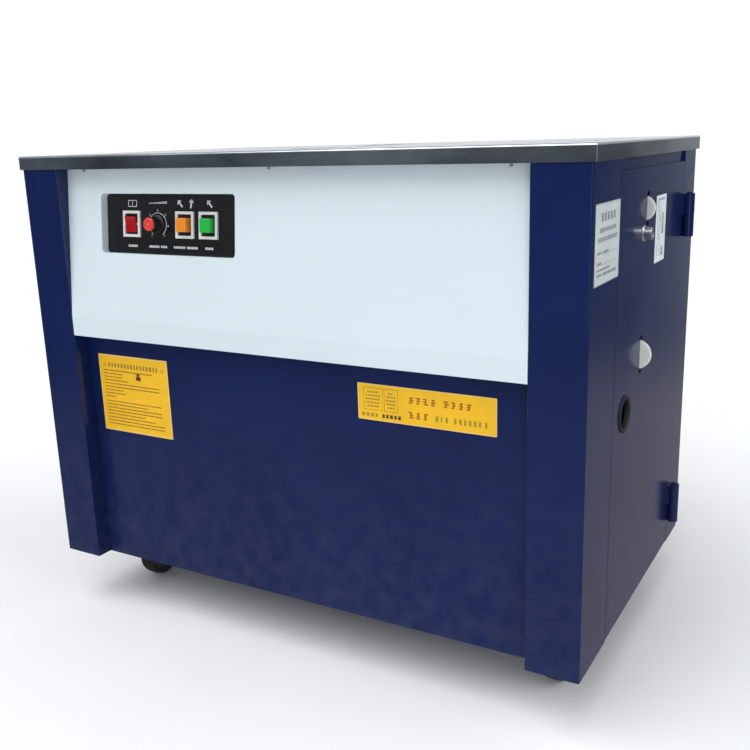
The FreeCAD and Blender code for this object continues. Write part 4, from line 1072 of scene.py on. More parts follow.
@dataclass
class Table:
    """The stainless table with its lids, centre strip and slide plate."""

    corner: float = 0.9 * MM
    edge: float = 0.25 * MM

    def build(self) -> None:
        """Makes the table's sheets."""
        self._top()
        for node in ("right_table_lid", "left_table_lid"):
            carry(node, Shelf.mirror_steel, self.edge, 1)
        for node in ("head_strip", "slide_plate"):
            carry(node, Shelf.side_steel, self.edge, 1)
        self._rivets()

    def _top(self) -> None:
        """The folded top, a little rounder at its mitred corners."""
        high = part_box("table_top")[1]

        def mitre(edge: bmesh.types.BMEdge) -> bool:
            """Whether an edge is the upright one at a corner of the skirt.

            Args:
                edge: The edge.

            Returns:
                True for such an edge.
            """
            first, second = edge.verts
            return (all(abs(abs(vert.co.x) - high.x) < WELD and abs(abs(vert.co.y) - high.y) < WELD
                        for vert in (first, second)) and abs(first.co.z - second.co.z) > 5 * MM)

        draft = Draft("table_top").soften(self.corner, 3, mitre)
        draft.soften(self.edge, 1, sharp(50)).stand_for("table_top_folded", Shelf.mirror_steel)

    def _rivets(self) -> None:
        """Two rows of countersunk screws that hold the centre strip."""
        low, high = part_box("head_strip")
        draft = Draft()
        for along in (low.y + 18 * MM, -0.09, 0.09, high.y - 18 * MM):
            for across in (low.x + 10 * MM, high.x - 10 * MM):
                top = high.z - 0.02 * MM
                draft.turned([(0, 0), (3.4 * MM, 0), (3.1 * MM, -0.7 * MM), (0, -0.7 * MM)],
                             (across, along, top), (0, 0, 1), Shelf.plated, 24)
                draft.block((across - 2.4 * MM, along - 0.35 * MM, top - 0.3 * MM),
                            (across + 2.4 * MM, along + 0.35 * MM, top + 0.01 * MM), Shelf.black)
        draft.publish("head_strip_screws", "root", SLOT_OF["fasteners"])


@dataclass
class ControlPanel:
    """The black plate in its recess with the rocker, the knob, the two buttons and their print."""

    foot: float = 0.493
    print_lift: float = 0.08 * MM
    plate_in: float = 12.5 * MM
    dial_radius: float = 20.0 * MM
    arc_radius: float = 16.4 * MM
    dial_sweep: Point = (-144.0, 144.0)
    dial_steps: int = 7
    centres: dict[str, float] = field(default_factory=lambda: {
        "rocker": -0.253, "knob": -0.204, "reset": -0.152, "feed": -0.109})
    level: float = 143.7 * MM

    def build(self) -> None:
        """Makes the controls and prints their signs."""
        carry("control_plate", Shelf.plate, 0.4 * MM)
        carry("button_bezels", Shelf.bezel, 0.9 * MM, 3)
        Draft("power_rocker").soften(1.2 * MM, 3).stand_for("power_rocker_moulded", Shelf.red)
        for node, finish in (("reset_button", Shelf.orange), ("feed_button", Shelf.green)):
            Draft(node).soften(1.8 * MM, 4).stand_for(f"{node}_moulded", finish)
        self._knob()
        self._print()

    def ground(self) -> Matrix:
        """Axes of the plate's face: X across, Y up the lean, Z outwards, from the foot of the lean.

        Returns:
            The axes as a matrix.
        """
        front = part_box("upper_front_panel")[0].y
        up = Vector((0, math.sin(CABINET_LEAN), math.cos(CABINET_LEAN)))
        inward = Vector((0, math.cos(CABINET_LEAN), -math.sin(CABINET_LEAN)))
        return axes(Vector((0, front, self.foot)) + inward * self.plate_in, (1, 0, 0), up)

    def _knob(self) -> None:
        """The ribbed knob on its black skirt, with a pale pointer."""
        ground = self.ground()
        centre = ground @ Vector((self.centres["knob"], self.level, 0))
        out = (ground.to_3x3() @ Vector((0, 0, 1))).normalized()
        draft = Draft("length_knob", copied=False)
        draft.turned([(0, -8 * MM), (2.9 * MM, -8 * MM), (2.9 * MM, 0.3 * MM), (13.4 * MM, 0.3 * MM),
                      (14 * MM, 0.9 * MM), (13.6 * MM, 2.6 * MM), (11 * MM, 4.2 * MM), (0, 4.4 * MM)],
                     centre, out, Shelf.black, 64)
        draft.turned([(0, 4.3 * MM), (10.3 * MM, 4.3 * MM), (10 * MM, 6 * MM), (9.6 * MM, 17 * MM),
                      (9.2 * MM, 17.6 * MM), (0, 17.6 * MM)], centre, out, Shelf.black, 64)
        draft.turned([(0, 17.5 * MM), (9.7 * MM, 17.5 * MM), (9.7 * MM, 18.6 * MM), (9.2 * MM, 20.2 * MM),
                      (7.6 * MM, 20.9 * MM), (6.4 * MM, 20.5 * MM), (0, 20.3 * MM)],
                     centre, out, Shelf.pink, 64)
        local = Matrix.Translation(centre) @ ground.to_3x3().to_4x4()
        ribs = 24
        for index in range(ribs):
            angle = 2 * math.pi * index / ribs
            turned = local @ Matrix.Rotation(angle, 4, "Z")
            draft.block((9.2 * MM, -0.45 * MM, 6 * MM), (10.4 * MM, 0.45 * MM, 17 * MM), Shelf.black, turned,
                        0.25 * MM)
        pointer = local @ Matrix.Rotation(math.radians(60), 4, "Z")
        draft.block((-1.1 * MM, -0.45 * MM, 20.2 * MM), (1.3 * MM, 0.45 * MM, 20.6 * MM), Shelf.white_ink,
                    pointer, 0.15 * MM)
        draft.stand_for("length_knob_moulded")

    def _print(self) -> None:
        """White print on the plate: dial figures, growing ticks, plain signs and caption bars."""
        ground = self.ground()
        ink, lift = Shelf.white_ink, self.print_lift
        draft = Draft()

        def bar(across: float, up: float, wide: float, tall: float, angle: float = 0.0) -> None:
            """Prints one bar.

            Args:
                across: Its middle across the plate.
                up: Its middle up the plate.
                wide: Its width.
                tall: Its height.
                angle: Its turn to the left, in degrees.
            """
            turned = ground @ Matrix.Translation((across, up, 0)) @ Matrix.Rotation(math.radians(angle), 4, "Z")
            draft.block((-wide / 2, -tall / 2, -lift), (wide / 2, tall / 2, lift), ink, turned)

        knob, level = self.centres["knob"], self.level
        first, last = self.dial_sweep
        for index in range(self.dial_steps):
            degrees = first + (last - first) * index / (self.dial_steps - 1)
            angle = math.radians(degrees)
            reach = self.dial_radius
            spot = ground @ Matrix.Translation((knob + reach * math.sin(angle), level + reach * math.cos(angle), 0))
            draft.digit(str(index + 1), 3.4 * MM, spot, ink)
            reach = self.arc_radius + 0.6 * MM
            bar(knob + reach * math.sin(angle), level + reach * math.cos(angle), 0.8 * MM, 1.6 * MM, -degrees)
        strokes = 48
        for index in range(strokes):
            degrees = first + (last - first) * (index + 0.5) / strokes
            angle, long = math.radians(degrees), 2 * math.pi * self.arc_radius * (last - first) / 360 / strokes
            bar(knob + self.arc_radius * math.sin(angle), level + self.arc_radius * math.cos(angle),
                long * 1.15, (0.5 + 0.6 * index / strokes) * MM, -degrees)
        for index in range(9):
            tall = (0.9 + 0.32 * index) * MM
            bar(knob - 14.8 * MM + 3.9 * MM * index, level + 29.5 * MM + tall / 2, 2.3 * MM, tall)
        signs = level + 29.5 * MM
        self._window_sign(bar, self.centres["rocker"] + 0.5 * MM, signs)
        for across, lean in ((self.centres["reset"] - 9 * MM, 42.0), (self.centres["reset"] + 11 * MM, -8.0),
                             (self.centres["feed"] + 1.5 * MM, 42.0)):
            self._arrow_sign(bar, across, signs, lean)
        captions = {"rocker": (19,), "knob": (20, 12), "reset": (22, 20), "feed": (15,)}
        for name, words in captions.items():
            left = self.centres[name] - (sum(words) + 2.5 * (len(words) - 1)) * MM / 2
            for word in words:
                letters = round(word / 3)
                for index in range(letters):
                    bar(left + (index + 0.5) * word * MM / letters, level - 32.0 * MM, 2.2 * MM, 3.3 * MM)
                left += (word + 2.5) * MM
        draft.publish("control_plate_print", "root", SLOT_OF["control_plate"])

    @staticmethod
    def _window_sign(bar: Callable[..., None], across: float, up: float) -> None:
        """An outlined box with a stroke in it.

        Args:
            bar: Prints one bar.
            across: Middle of the sign across the plate.
            up: Middle of the sign up the plate.
        """
        wide, tall, line = 16 * MM, 8.6 * MM, 1.0 * MM
        for sign in (-1, 1):
            bar(across, up + sign * tall / 2, wide + line, line)
            bar(across + sign * wide / 2, up, line, tall)
        bar(across, up, line, tall * 0.6)

    @staticmethod
    def _arrow_sign(bar: Callable[..., None], across: float, up: float, lean: float) -> None:
        """A plain arrow: a shaft and two barbs.

        Args:
            bar: Prints one bar.
            across: Middle of the sign across the plate.
            up: Middle of the sign up the plate.
            lean: Lean of the arrow to the left, in degrees.
        """
        shaft, line = 12 * MM, 2.4 * MM
        bar(across, up, line, shaft, lean)
        tip_x = across - math.sin(math.radians(lean)) * shaft / 2
        tip_y = up + math.cos(math.radians(lean)) * shaft / 2
        for barb in (-42, 42):
            angle = math.radians(lean + barb)
            bar(tip_x + math.sin(angle) * 2.4 * MM, tip_y - math.cos(angle) * 2.4 * MM, line * 0.7, 6 * MM,
                lean + barb)


@dataclass
class Labels:
    """Plain stand-in labels: tinted plates with rows of bars and no lettering."""

    film: float = 0.25 * MM
    relief: float = 0.06 * MM
    seed: int = 7

    def build(self) -> None:
        """Makes the two yellow labels, the data plate and the strip label."""
        self._notice()
        self._wide_notice()
        self._data_plate()
        self._strip()

    def _base(self, draft: Draft, ground: Matrix, wide: float, tall: float, finish: Finish) -> None:
        """The film of a label, with rounded corners."""
        draft.block((0, 0, 0), (wide, tall, self.film), finish, ground, self.film * 0.4)

    def _bar(self, draft: Draft, ground: Matrix, box: Sequence[float], finish: Finish) -> None:
        """A printed bar at (left, low, wide, tall) in millimetres.

        Args:
            draft: The label's mesh.
            ground: Axes of the label.
            box: The bar's place and size.
            finish: The ink.
        """
        left, low, wide, tall = (part * MM for part in box)
        draft.block((left, low, self.film - self.relief), (left + wide, low + tall, self.film + self.relief),
                    finish, ground)

    def _row(self, draft: Draft, ground: Matrix, row: Sequence[float], word: tuple[float, float],
             finish: Finish, rng: random.Random) -> None:
        """A row of plain blocks in place of words.

        Args:
            draft: The label's mesh.
            ground: Axes of the label.
            row: Left, low, right and height, in millimetres.
            word: Shortest and longest block.
            finish: The ink.
            rng: Chooses the lengths.
        """
        left, low, right, tall = row
        while left < right - word[0] * 0.6:
            long = min(rng.uniform(*word), right - left)
            self._bar(draft, ground, (left, low, long, tall), finish)
            left += long + max(0.9, tall * 0.45)

    def _border(self, draft: Draft, ground: Matrix, box: Sequence[float], line: float, finish: Finish) -> None:
        """A printed outline round a box, in millimetres.

        Args:
            draft: The label's mesh.
            ground: Axes of the label.
            box: Left, low, wide and tall.
            line: The outline's width.
            finish: The ink.
        """
        left, low, wide, tall = box
        for part in ((left, low, wide, line), (left, low + tall - line, wide, line), (left, low, line, tall),
                     (left + wide - line, low, line, tall)):
            self._bar(draft, ground, part, finish)

    def _notice(self) -> None:
        """The tall yellow label at the left: a heading, a small sign and close rows."""
        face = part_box("lower_front_panel")[0].y
        ground = axes((-0.352, face, 0.306), (1, 0, 0), (0, 0, 1))
        draft, rng = Draft(), random.Random(self.seed)
        wide, tall = 142, 124.5
        self._base(draft, ground, wide * MM, tall * MM, Shelf.yellow)
        self._border(draft, ground, (0.6, 0.6, wide - 1.2, tall - 1.2), 1.1, Shelf.cream)
        self._row(draft, ground, (20, tall - 20, 122, 7), (3.0, 4.4), Shelf.brown_ink, rng)
        for left in (8, 126):
            self._bar(draft, ground, (left, tall - 19.5, 9, 1.1), Shelf.brown_ink)
            self._bar(draft, ground, (left + 2, tall - 16.5, 5, 1.1), Shelf.brown_ink)
            self._bar(draft, ground, (left + 3.6, tall - 14, 1.8, 1.1), Shelf.brown_ink)
        self._bar(draft, ground, (76, tall - 37, 10, 6), Shelf.dark_red_ink)
        self._bar(draft, ground, (78, tall - 30.5, 6, 4.5), Shelf.dark_red_ink)
        ends = (112, 50, 48, 58, 122, 122, 46, 50, 30, 126, 96, 124, 124, 88, 112, 128, 126)
        for index, end in enumerate(ends):
            low = tall - 26.5 - 5.3 * index - (2.6 if index > 8 else 0)
            self._row(draft, ground, (9, low, end, 1.9), (4, 13), Shelf.brown_ink, rng)
        draft.publish("front_notice_label", "root", SLOT_OF["lower_front_panel"])

    def _wide_notice(self) -> None:
        """The wide yellow label at the right: two framed signs and two rows of blocks."""
        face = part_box("lower_front_panel")[0].y
        ground = axes((0.1245, face, 0.3835), (1, 0, 0), (0, 0, 1))
        draft, rng = Draft(), random.Random(self.seed + 1)
        wide, tall = 199, 50
        self._base(draft, ground, wide * MM, tall * MM, Shelf.yellow)
        self._border(draft, ground, (0.4, 0.4, wide - 0.8, tall - 0.8), 0.8, Shelf.cream)
        for left, size in ((9, 29), (40, 21)):
            self._border(draft, ground, (left, 14, size, 31), 0.7, Shelf.olive_ink)
            for row in range(5):
                inset = (5.5, 3.5, 2.8, 3.5, 6)[row]
                self._row(draft, ground, (left + inset, 18.5 + 4.8 * row, left + size - inset, 2.3), (2, 5),
                          Shelf.olive_ink, rng)
        self._row(draft, ground, (6, 5, 30, 5), (3.6, 5), Shelf.olive_ink, rng)
        self._row(draft, ground, (37, 5, 66, 5), (3.2, 4.2), Shelf.ink, rng)
        for low, left, count, pitch in ((29.5, 76, 4, 10.6), (29.5, 126, 4, 10.6), (9.5, 76, 3, 10.2)):
            for index in range(count):
                for level in range(3):
                    start = left + index * pitch + rng.uniform(0, 2)
                    self._bar(draft, ground, (start, low + 3.4 * level, 7.2 * rng.uniform(0.6, 1), 1.9),
                              Shelf.red_ink)
                self._bar(draft, ground, (left + index * pitch + 3.2, low + 0.5, 1.3, 8), Shelf.red_ink)
        for left, right in ((115, 124), (129, 137), (141, 144), (148, 178), (183, 188)):
            self._row(draft, ground, (left, 9.5, right, 7.5), (3.0, 3.8), Shelf.olive_ink, rng)
        draft.publish("front_wide_label", "root", SLOT_OF["lower_front_panel"])

    def _data_plate(self) -> None:
        """The silver plate on the side of the right front post."""
        ground = axes((SKIN, -0.255, 0.5775), (0, 1, 0), (0, 0, 1))
        draft, rng = Draft(), random.Random(self.seed + 2)
        self._base(draft, ground, 98 * MM, 91.5 * MM, Shelf.silver)
        self._border(draft, ground, (0.7, 0.7, 96.6, 90.1), 0.5, Shelf.grey_ink)
        self._row(draft, ground, (22, 71, 80, 9.5), (7, 9), Shelf.grey_ink, rng)
        self._row(draft, ground, (17, 59, 84, 5), (5, 7), Shelf.grey_ink, rng)
        self._row(draft, ground, (11, 48.5, 88, 5), (4.5, 6.5), Shelf.grey_ink, rng)
        for low, text in ((35, 54), (23, 30), (10, 86)):
            self._row(draft, ground, (9, low, 27, 3), (4, 8), Shelf.grey_ink, rng)
            self._bar(draft, ground, (30, low - 0.8, 58, 0.5), Shelf.grey_ink)
            self._row(draft, ground, (32, low, text, 2.8), (5, 12), Shelf.grey_ink, rng)
        self._row(draft, ground, (9, 16, 60, 2.4), (4, 8), Shelf.grey_ink, rng)
        draft.publish("data_plate", "root", SLOT_OF["table_top"])

    def _strip(self) -> None:
        """The narrow white label on the right door, with upright blocks."""
        ground = axes((SKIN, 0.0235, 0.5685), (0, 1, 0), (0, 0, 1))
        draft, rng = Draft(), random.Random(self.seed + 3)
        self._base(draft, ground, 56 * MM, 91 * MM, Shelf.white_label)
        for left, low, high in ((9, 8, 82), (17, 30, 80), (24, 8, 70)):
            up = low
            while up < high:
                long = rng.uniform(2, 7)
                self._bar(draft, ground, (left, up, 2.2, long), Shelf.grey_ink)
                up += long + 1.5
        for low, long, line in ((38, 28, 0.9), (8, 12, 1.3)):
            up = low
            while up < low + long:
                thick = rng.uniform(0.5, line)
                self._bar(draft, ground, (33, up, 12, thick), Shelf.ink)
                up += thick + rng.uniform(0.5, 1.1)
        self._row(draft, ground, (10, 84, 48, 2.4), (3, 7), Shelf.grey_ink, rng)
        draft.publish("door_strip_label", "right_door", SLOT_OF["strap_inlet_grommet"])


@dataclass
class Caster:
    """A swivel caster: pressed fork and rubber-tyred wheel."""

    corner: Corner
    steps: int = 64

    def build(self) -> None:
        """Makes the fork and the wheel."""
        name = self.corner.value
        draft = Draft(f"{name}_caster_fork").soften(0.7 * MM, 2)
        draft.stand_for(f"{name}_caster_fork_pressed", Shelf.zinc)
        self._axle_nuts(name)
        self._wheel(name)

    def _axle_nuts(self, name: str) -> None:
        """Hexagon nuts on the axle's ends.

        Args:
            name: The caster's corner.
        """
        low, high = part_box(f"{name}_caster_fork")
        wheel_low, wheel_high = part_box(f"{name}_caster_wheel")
        middle = (wheel_low + wheel_high) / 2
        draft = Draft()
        for sign, side in ((-1, low.x), (1, high.x)):
            start = Vector((side - sign * 3.0 * MM, middle.y, middle.z))
            draft.rod(start, start + Vector((sign * 2.6 * MM, 0, 0)), 8.2 * MM, Shelf.plated, 6, 0.4 * MM)
        draft.publish(f"{name}_caster_nuts", f"{name}_swivel", SLOT_OF[f"{name}_caster_fork"])

    def _wheel(self, name: str) -> None:
        """The tyre with a rounded tread, on a dished and ribbed web.

        Args:
            name: The caster's corner.
        """
        node = f"{name}_caster_wheel"
        low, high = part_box(node)
        middle, radius = (low + high) / 2, (high.z - low.z) / 2
        half, hub_half = 14 * MM, (high.x - low.x) / 2
        rim = radius - 9 * MM
        draft = Draft(node, copied=False)
        draft.turned([(rim, -half + 1 * MM), (rim + 3 * MM, -half), (radius - 4.2 * MM, -half),
                      (radius - 1.4 * MM, -half + 1.6 * MM), (radius - 0.3 * MM, -half + 4.5 * MM),
                      (radius, -half + 8 * MM), (radius, half - 8 * MM), (radius - 0.3 * MM, half - 4.5 * MM),
                      (radius - 1.4 * MM, half - 1.6 * MM), (radius - 4.2 * MM, half), (rim + 3 * MM, half),
                      (rim, half - 1 * MM)], middle, (1, 0, 0), Shelf.tyre, self.steps)
        draft.turned([(5.1 * MM, -hub_half), (9.5 * MM, -hub_half), (11 * MM, -hub_half + 1 * MM),
                      (12 * MM, -half + 4 * MM), (rim - 3 * MM, -half + 3.5 * MM), (rim - 0.5 * MM, -half + 1 * MM),
                      (rim - 0.1 * MM, -half + 1 * MM), (rim - 0.1 * MM, half - 1 * MM),
                      (rim - 0.5 * MM, half - 1 * MM), (rim - 3 * MM, half - 3.5 * MM), (12 * MM, half - 4 * MM),
                      (11 * MM, hub_half - 1 * MM), (9.5 * MM, hub_half), (5.1 * MM, hub_half)],
                     middle, (1, 0, 0), Shelf.hub, self.steps)
        ribs = 6
        for side in (-1, 1):
            for index in range(ribs):
                turned = (Matrix.Translation(middle) @ Matrix.Rotation(2 * math.pi * index / ribs, 4, "X"))
                draft.block((side * (half - 5.5 * MM) - 1.4 * MM, -1.5 * MM, 11.5 * MM),
                            (side * (half - 5.5 * MM) + 1.4 * MM, 1.5 * MM, rim - 1 * MM), Shelf.hub, turned,
                            0.4 * MM)
        draft.stand_for(f"{node}_moulded")


@dataclass
class Reel:
    """The strap reel, its stand, nut and brake."""

    rim: float = 1.2 * MM

    def build(self) -> None:
        """Makes the reel's pieces."""
        for node in ("reel_drum", "reel_outer_flange"):
            carry(node, Shelf.board, self.rim, 3)
        carry("reel_stand", Shelf.cast, 1.2 * MM)
        carry("reel_nut", Shelf.black, 1.5 * MM, 3)
        carry("brake_arm", Shelf.tool, 0.6 * MM)
        self._rivets()

    def _rivets(self) -> None:
        """A ring of rivets that joins the core to the inner flange."""
        low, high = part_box("reel_drum")
        centre = (low + high) / 2
        draft, count, ring = Draft(), 12, 92 * MM
        for index in range(count):
            angle = 2 * math.pi * (index + 0.5) / count
            spot = Vector((high.x, centre.y + ring * math.cos(angle), centre.z + ring * math.sin(angle)))
            draft.turned([(0, 0), (3.4 * MM, 0), (2.8 * MM, 1.0 * MM), (1.2 * MM, 1.6 * MM), (0, 1.7 * MM)],
                         spot, (1, 0, 0), Shelf.alloy, 16)
        draft.publish("reel_rivets", "reel", SLOT_OF["reel_drum"])


@dataclass
class Drive:
    """Motor, pulleys, belt and gearbox."""

    fins: int = 28
    can: float = 60 * MM
    fin: float = 1.3 * MM

    def build(self) -> None:
        """Makes the drive's pieces."""
        self._motor()
        for node in ("drive_pulley", "motor_pulley"):
            carry(node, Shelf.alloy, 0.6 * MM)
        carry("drive_belt", Shelf.rubber, 0.5 * MM)
        Draft("gearbox").soften(2.5 * MM, 3).stand_for("gearbox_cast", Shelf.cast)
        self._gearbox_bolts()

    def _motor(self) -> None:
        """The finned motor with its end bells, fan cover, foot, terminal box and shaft."""
        low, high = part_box("motor")
        pulley_low, pulley_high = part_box("motor_pulley")
        axis = (pulley_low + pulley_high) / 2
        front, back = low.y, low.y + 190 * MM
        radius = 65 * MM
        draft = Draft("motor", copied=False)
        paint = Shelf.motor_grey
        ahead = Vector((0, 1, 0))
        centre = Vector((axis.x, front, axis.z))
        draft.turned([(0, 0), (radius - 9 * MM, 0), (radius - 3 * MM, 4 * MM), (radius - 1 * MM, 12 * MM),
                      (radius - 1 * MM, 38 * MM), (self.can, 40 * MM), (0, 40 * MM)], centre, ahead, paint, 64)
        draft.turned([(0, 38 * MM), (self.can, 38 * MM), (self.can, 160 * MM), (0, 160 * MM)], centre, ahead,
                     paint, 64)
        draft.turned([(0, 158 * MM), (radius - 1 * MM, 158 * MM), (radius - 1 * MM, 172 * MM),
                      (radius - 12 * MM, 184 * MM), (24 * MM, 190 * MM), (0, 190 * MM)], centre, ahead, paint, 64)
        for index in range(self.fins):
            angle = 2 * math.pi * (index + 0.5) / self.fins
            turned = Matrix.Translation(centre) @ Matrix.Rotation(angle, 4, "Y")
            draft.block((self.can - 1 * MM, 42 * MM, -self.fin), (radius, 156 * MM, self.fin), paint, turned,
                        0.4 * MM)
        for ring in range(3):
            for index in range(6 + 6 * ring):
                angle = 2 * math.pi * index / (6 + 6 * ring)
                reach = (14 + 14 * ring) * MM
                spot = centre + Vector((reach * math.cos(angle), 0, reach * math.sin(angle)))
                draft.rod(spot - ahead * 0.3 * MM, spot + ahead * 0.5 * MM, 3.2 * MM, Shelf.black, 12)
        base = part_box("base_frame")[0].z + 3 * MM
        foot_low, foot_high = front + 30 * MM, back - 30 * MM
        draft.block((axis.x - 60 * MM, foot_low, base), (axis.x + 60 * MM, foot_high, base + 9 * MM), paint,
                    edge=1.5 * MM)
        for side in (-1, 1):
            draft.block((axis.x + side * 38 * MM - 5 * MM, foot_low + 4 * MM, base + 4 * MM),
                        (axis.x + side * 38 * MM + 5 * MM, foot_high - 4 * MM, axis.z - 44 * MM), paint,
                        edge=1 * MM)
            for along in (foot_low + 14 * MM, foot_high - 14 * MM):
                spot = Vector((axis.x + side * 52 * MM, along, base + 9 * MM))
                draft.rod(spot, spot + Vector((0, 0, 5 * MM)), 6 * MM, Shelf.plated, 6, 0.4 * MM)
        top = high.z
        draft.block((axis.x - 35 * MM, front + 50 * MM, axis.z + 56 * MM),
                    (axis.x + 35 * MM, back - 50 * MM, top - 5 * MM), paint, edge=2 * MM)
        draft.block((axis.x - 34 * MM, front + 51 * MM, top - 5.2 * MM),
                    (axis.x + 34 * MM, back - 51 * MM, top), paint, edge=1 * MM)
        draft.rod((axis.x, back - 1 * MM, axis.z), (axis.x, high.y, axis.z), 7.9 * MM, Shelf.plated, 32, 0.6 * MM)
        draft.stand_for("motor_finned")

    def _gearbox_bolts(self) -> None:
        """Cover bolts and the brass filler plug on the gearbox."""
        low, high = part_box("gearbox")
        draft = Draft()
        back = low.y + 95 * MM
        for across in (-46, 46):
            for up in (low.z + 16 * MM, high.z - 12 * MM):
                spot = Vector((across * MM, back, up))
                draft.rod(spot - Vector((0, MM, 0)), spot + Vector((0, 4.5 * MM, 0)), 5.5 * MM, Shelf.plated, 6,
                          0.4 * MM)
        draft.rod((30 * MM, low.y + 30 * MM, high.z - MM), (30 * MM, low.y + 30 * MM, high.z + 6 * MM), 7 * MM,
                  Shelf.brass, 6, 0.5 * MM)
        draft.publish("gearbox_bolts", "root", SLOT_OF["fasteners"])


@dataclass
class SealingHead:
    """The head under the table's window: frame, camshaft, grippers, press head, hot blade and rollers."""

    teeth: int = 4
    pitch: float = 2 * MM
    grooves: int = 40

    def build(self) -> None:
        """Makes the head's pieces."""
        carry("head_frame", Shelf.cast, 1.2 * MM)
        for node in ("front_gripper", "press_head", "rear_gripper"):
            carry(node, Shelf.tool, 0.5 * MM)
        carry("camshaft", Shelf.plated, 0.8 * MM)
        carry("heater_arm", Shelf.copper, 0.25 * MM, 1)
        for node, finish in (("feed_roller", Shelf.plated), ("pinch_roller", Shelf.nylon)):
            self._roller(node, finish)
        for node in ("front_gripper", "rear_gripper"):
            self._teeth(node)

    def _roller(self, node: str, finish: Finish) -> None:
        """A roller with grip ribs along it.

        Args:
            node: The roller's node.
            finish: Its finish.
        """
        low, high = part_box(node)
        middle, radius = (low + high) / 2, (high.z - low.z) / 2
        draft = Draft(node).soften(0.6 * MM, 2)
        draft.finishes = [finish]
        for index in range(self.grooves):
            turned = Matrix.Translation(middle) @ Matrix.Rotation(2 * math.pi * index / self.grooves, 4, "X")
            draft.block((-9 * MM, -0.35 * MM, radius - 0.6 * MM), (9 * MM, 0.35 * MM, radius - 0.02 * MM), finish,
                        turned)
        draft.stand_for(f"{node}_grooved", finish)

    def _teeth(self, node: str) -> None:
        """Fine clamping teeth across the top of a gripper.

        Args:
            node: The gripper's node.
        """
        low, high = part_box(node)
        draft = Draft()
        top = high.z - 0.25 * MM
        for side in (-1, 1):
            for index in range(self.teeth):
                along = (low.y + high.y) / 2 + side * (3.4 * MM + self.pitch * index)
                draft.rod((low.x + 0.5 * MM, along, top), (high.x - 0.5 * MM, along, top), 0.8 * MM, Shelf.tool, 3)
        draft.publish(f"{node}_teeth", BODY_OF[node], SLOT_OF[node])


@dataclass
class Electrics:
    """The control box with its board, and the power inlet."""

    def build(self) -> None:
        """Makes the box, the board's parts and the inlet's pins."""
        carry("electric_box", Shelf.box_zinc, 0.4 * MM, 1)
        carry("strap_pool", Shelf.box_zinc, 0.4 * MM, 1)
        carry("power_inlet", Shelf.black, 0.8 * MM)
        self._board()
        self._pins()

    def _board(self) -> None:
        """A circuit board with terminals, capacitors and small chips."""
        low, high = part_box("electric_box")
        left, front = low.x + 5 * MM, low.y + 10 * MM
        draft, rng = Draft(), random.Random(11)
        bottom, top = low.z + 4 * MM, low.z + 116 * MM
        draft.block((left, front, bottom), (left + 1.6 * MM, low.y + 138 * MM, top), Shelf.circuit, edge=0.2 * MM)
        face = left + 1.6 * MM
        for index in range(9):
            along = front + (8 + 13 * index) * MM
            draft.block((face, along, bottom + 4 * MM), (face + 11 * MM, along + 10 * MM, bottom + 14 * MM),
                        Shelf.green, edge=0.5 * MM)
            draft.rod((face + 10.8 * MM, along + 5 * MM, bottom + 9 * MM),
                      (face + 11.3 * MM, along + 5 * MM, bottom + 9 * MM), 2.6 * MM, Shelf.plated, 12)
        for index in range(5):
            along = front + (12 + 22 * index) * MM
            draft.rod((face, along, top - 14 * MM), (face + 20 * MM, along, top - 14 * MM), 6.5 * MM, Shelf.black,
                      24, 0.8 * MM)
            draft.rod((face + 19.9 * MM, along, top - 14 * MM), (face + 20.3 * MM, along, top - 14 * MM), 5.2 * MM,
                      Shelf.alloy, 24)
        for index in range(14):
            along, up = front + rng.uniform(4, 116) * MM, bottom + rng.uniform(20, 34) * MM
            draft.block((face, along, up), (face + 2.4 * MM, along + 6 * MM, up + 3 * MM), Shelf.black,
                        edge=0.2 * MM)
        draft.publish("control_board_parts", "root", SLOT_OF["electric_box"])

    def _pins(self) -> None:
        """Three flat pins inside the power inlet."""
        low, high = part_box("power_inlet")
        middle = (low + high) / 2
        draft = Draft()
        for across, up in ((-6.5, -1.5), (6.5, -1.5), (0, 2.5)):
            spot = middle + Vector((across * MM, 0, up * MM))
            draft.block((spot.x - 1 * MM, high.y - 19 * MM, spot.z - 2 * MM),
                        (spot.x + 1 * MM, high.y - 5 * MM, spot.z + 2 * MM), Shelf.brass, edge=0.4 * MM)
        draft.publish("power_inlet_pins", "root", SLOT_OF["power_inlet"])


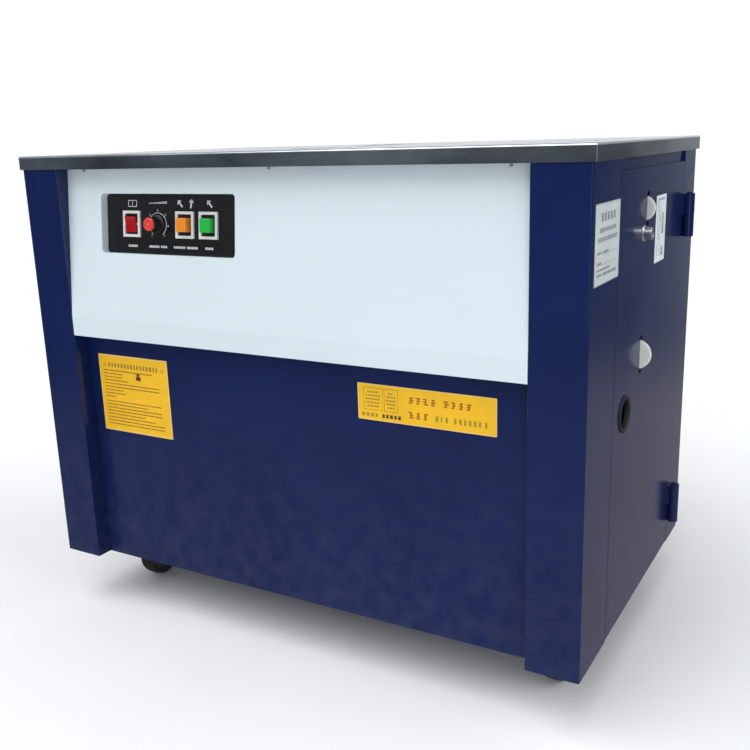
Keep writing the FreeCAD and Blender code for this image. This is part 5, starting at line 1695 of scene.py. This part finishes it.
@dataclass
class Fasteners:
    """Bolts, screws and hinge barrels, each at the place its solid has in the frame."""

    def build(self) -> None:
        """Makes every fastener and the hinges."""
        carry("caster_plates", Shelf.plated, 0.4 * MM, 1)
        Draft("hinge_pins").soften(0.9 * MM, 2).stand_for("hinge_pins_turned", Shelf.navy)
        draft = Draft("fasteners", copied=False)
        for low, high in lumps("fasteners"):
            size = high - low
            middle = (low + high) / 2
            if size.y < 3 * MM and size.z > size.y:
                self._grub(draft, middle, low, high)
            elif size.y < size.x:
                self._pan_head(draft, middle, low, high)
            else:
                self._hex_bolt(draft, middle, low, high)
        draft.stand_for("bolts_and_screws")

    @staticmethod
    def _grub(draft: Draft, middle: Vector, low: Vector, high: Vector) -> None:
        """A small pan head screw under the table's skirt.

        Args:
            draft: The screws' mesh.
            middle: Middle of the screw.
            low: Its lowest corner.
            high: Its highest corner.
        """
        across = middle.y - math.copysign(1.0 * MM, middle.y)
        draft.rod((middle.x, across, low.z - 1.2 * MM), (middle.x, across, high.z), 0.9 * MM, Shelf.tool, 16)
        draft.rod((middle.x, across, low.z - 1.2 * MM), (middle.x, across, high.z - 0.6 * MM), 1.9 * MM,
                  Shelf.tool, 20, 0.5 * MM)

    @staticmethod
    def _pan_head(draft: Draft, middle: Vector, low: Vector, high: Vector) -> None:
        """A pan head screw with a cross recess, facing the back.

        Args:
            draft: The screws' mesh.
            middle: Middle of the screw.
            low: Its lowest corner.
            high: Its highest corner.
        """
        radius, tall = (high.x - low.x) / 2, high.y - low.y
        draft.turned([(0, 0), (radius, 0), (radius, tall * 0.35), (radius * 0.8, tall * 0.82), (radius * 0.4, tall),
                      (0, tall)], (middle.x, low.y, middle.z), (0, 1, 0), Shelf.plated, 24)
        for wide, high_bar in ((radius * 0.55, 0.4 * MM), (0.4 * MM, radius * 0.55)):
            draft.block((middle.x - wide, high.y - 0.3 * MM, middle.z - high_bar),
                        (middle.x + wide, high.y + 0.01 * MM, middle.z + high_bar), Shelf.black)

    @staticmethod
    def _hex_bolt(draft: Draft, middle: Vector, low: Vector, high: Vector) -> None:
        """A hexagon bolt from below with a washer, and a nut inside the tray.

        Args:
            draft: The screws' mesh.
            middle: Middle of the bolt.
            low: Its lowest corner.
            high: Its highest corner.
        """
        radius = 4 * MM
        draft.rod((middle.x, middle.y, low.z), (middle.x, middle.y, low.z + 3.4 * MM), (high.x - low.x) / 2,
                  Shelf.plated, 6, 0.4 * MM)
        draft.rod((middle.x, middle.y, low.z + 3.4 * MM), (middle.x, middle.y, low.z + 4 * MM), 6.4 * MM,
                  Shelf.plated, 24)
        draft.rod((middle.x, middle.y, low.z + 3.9 * MM), (middle.x, middle.y, high.z), radius - 0.1 * MM,
                  Shelf.plated, 16, 0.4 * MM)
        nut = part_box("base_frame")[0].z + 3 * MM
        draft.rod((middle.x, middle.y, nut), (middle.x, middle.y, nut + 6 * MM), 7.2 * MM, Shelf.plated, 6,
                  0.5 * MM)


CABINET_LEAN = Cabinet.lean


def main() -> None:
    """Builds the studio and every sub-assembly, in order."""
    logging.basicConfig(level=logging.INFO, format="%(name)s: %(message)s")
    Studio().build()
    Cabinet().build()
    for side in Side:
        SideDoor(side).build()
    Table().build()
    ControlPanel().build()
    Labels().build()
    for corner in Corner:
        Caster(corner).build()
    Reel().build()
    Drive().build()
    SealingHead().build()
    Electrics().build()
    Fasteners().build()


if __name__ == "__main__":
    main()
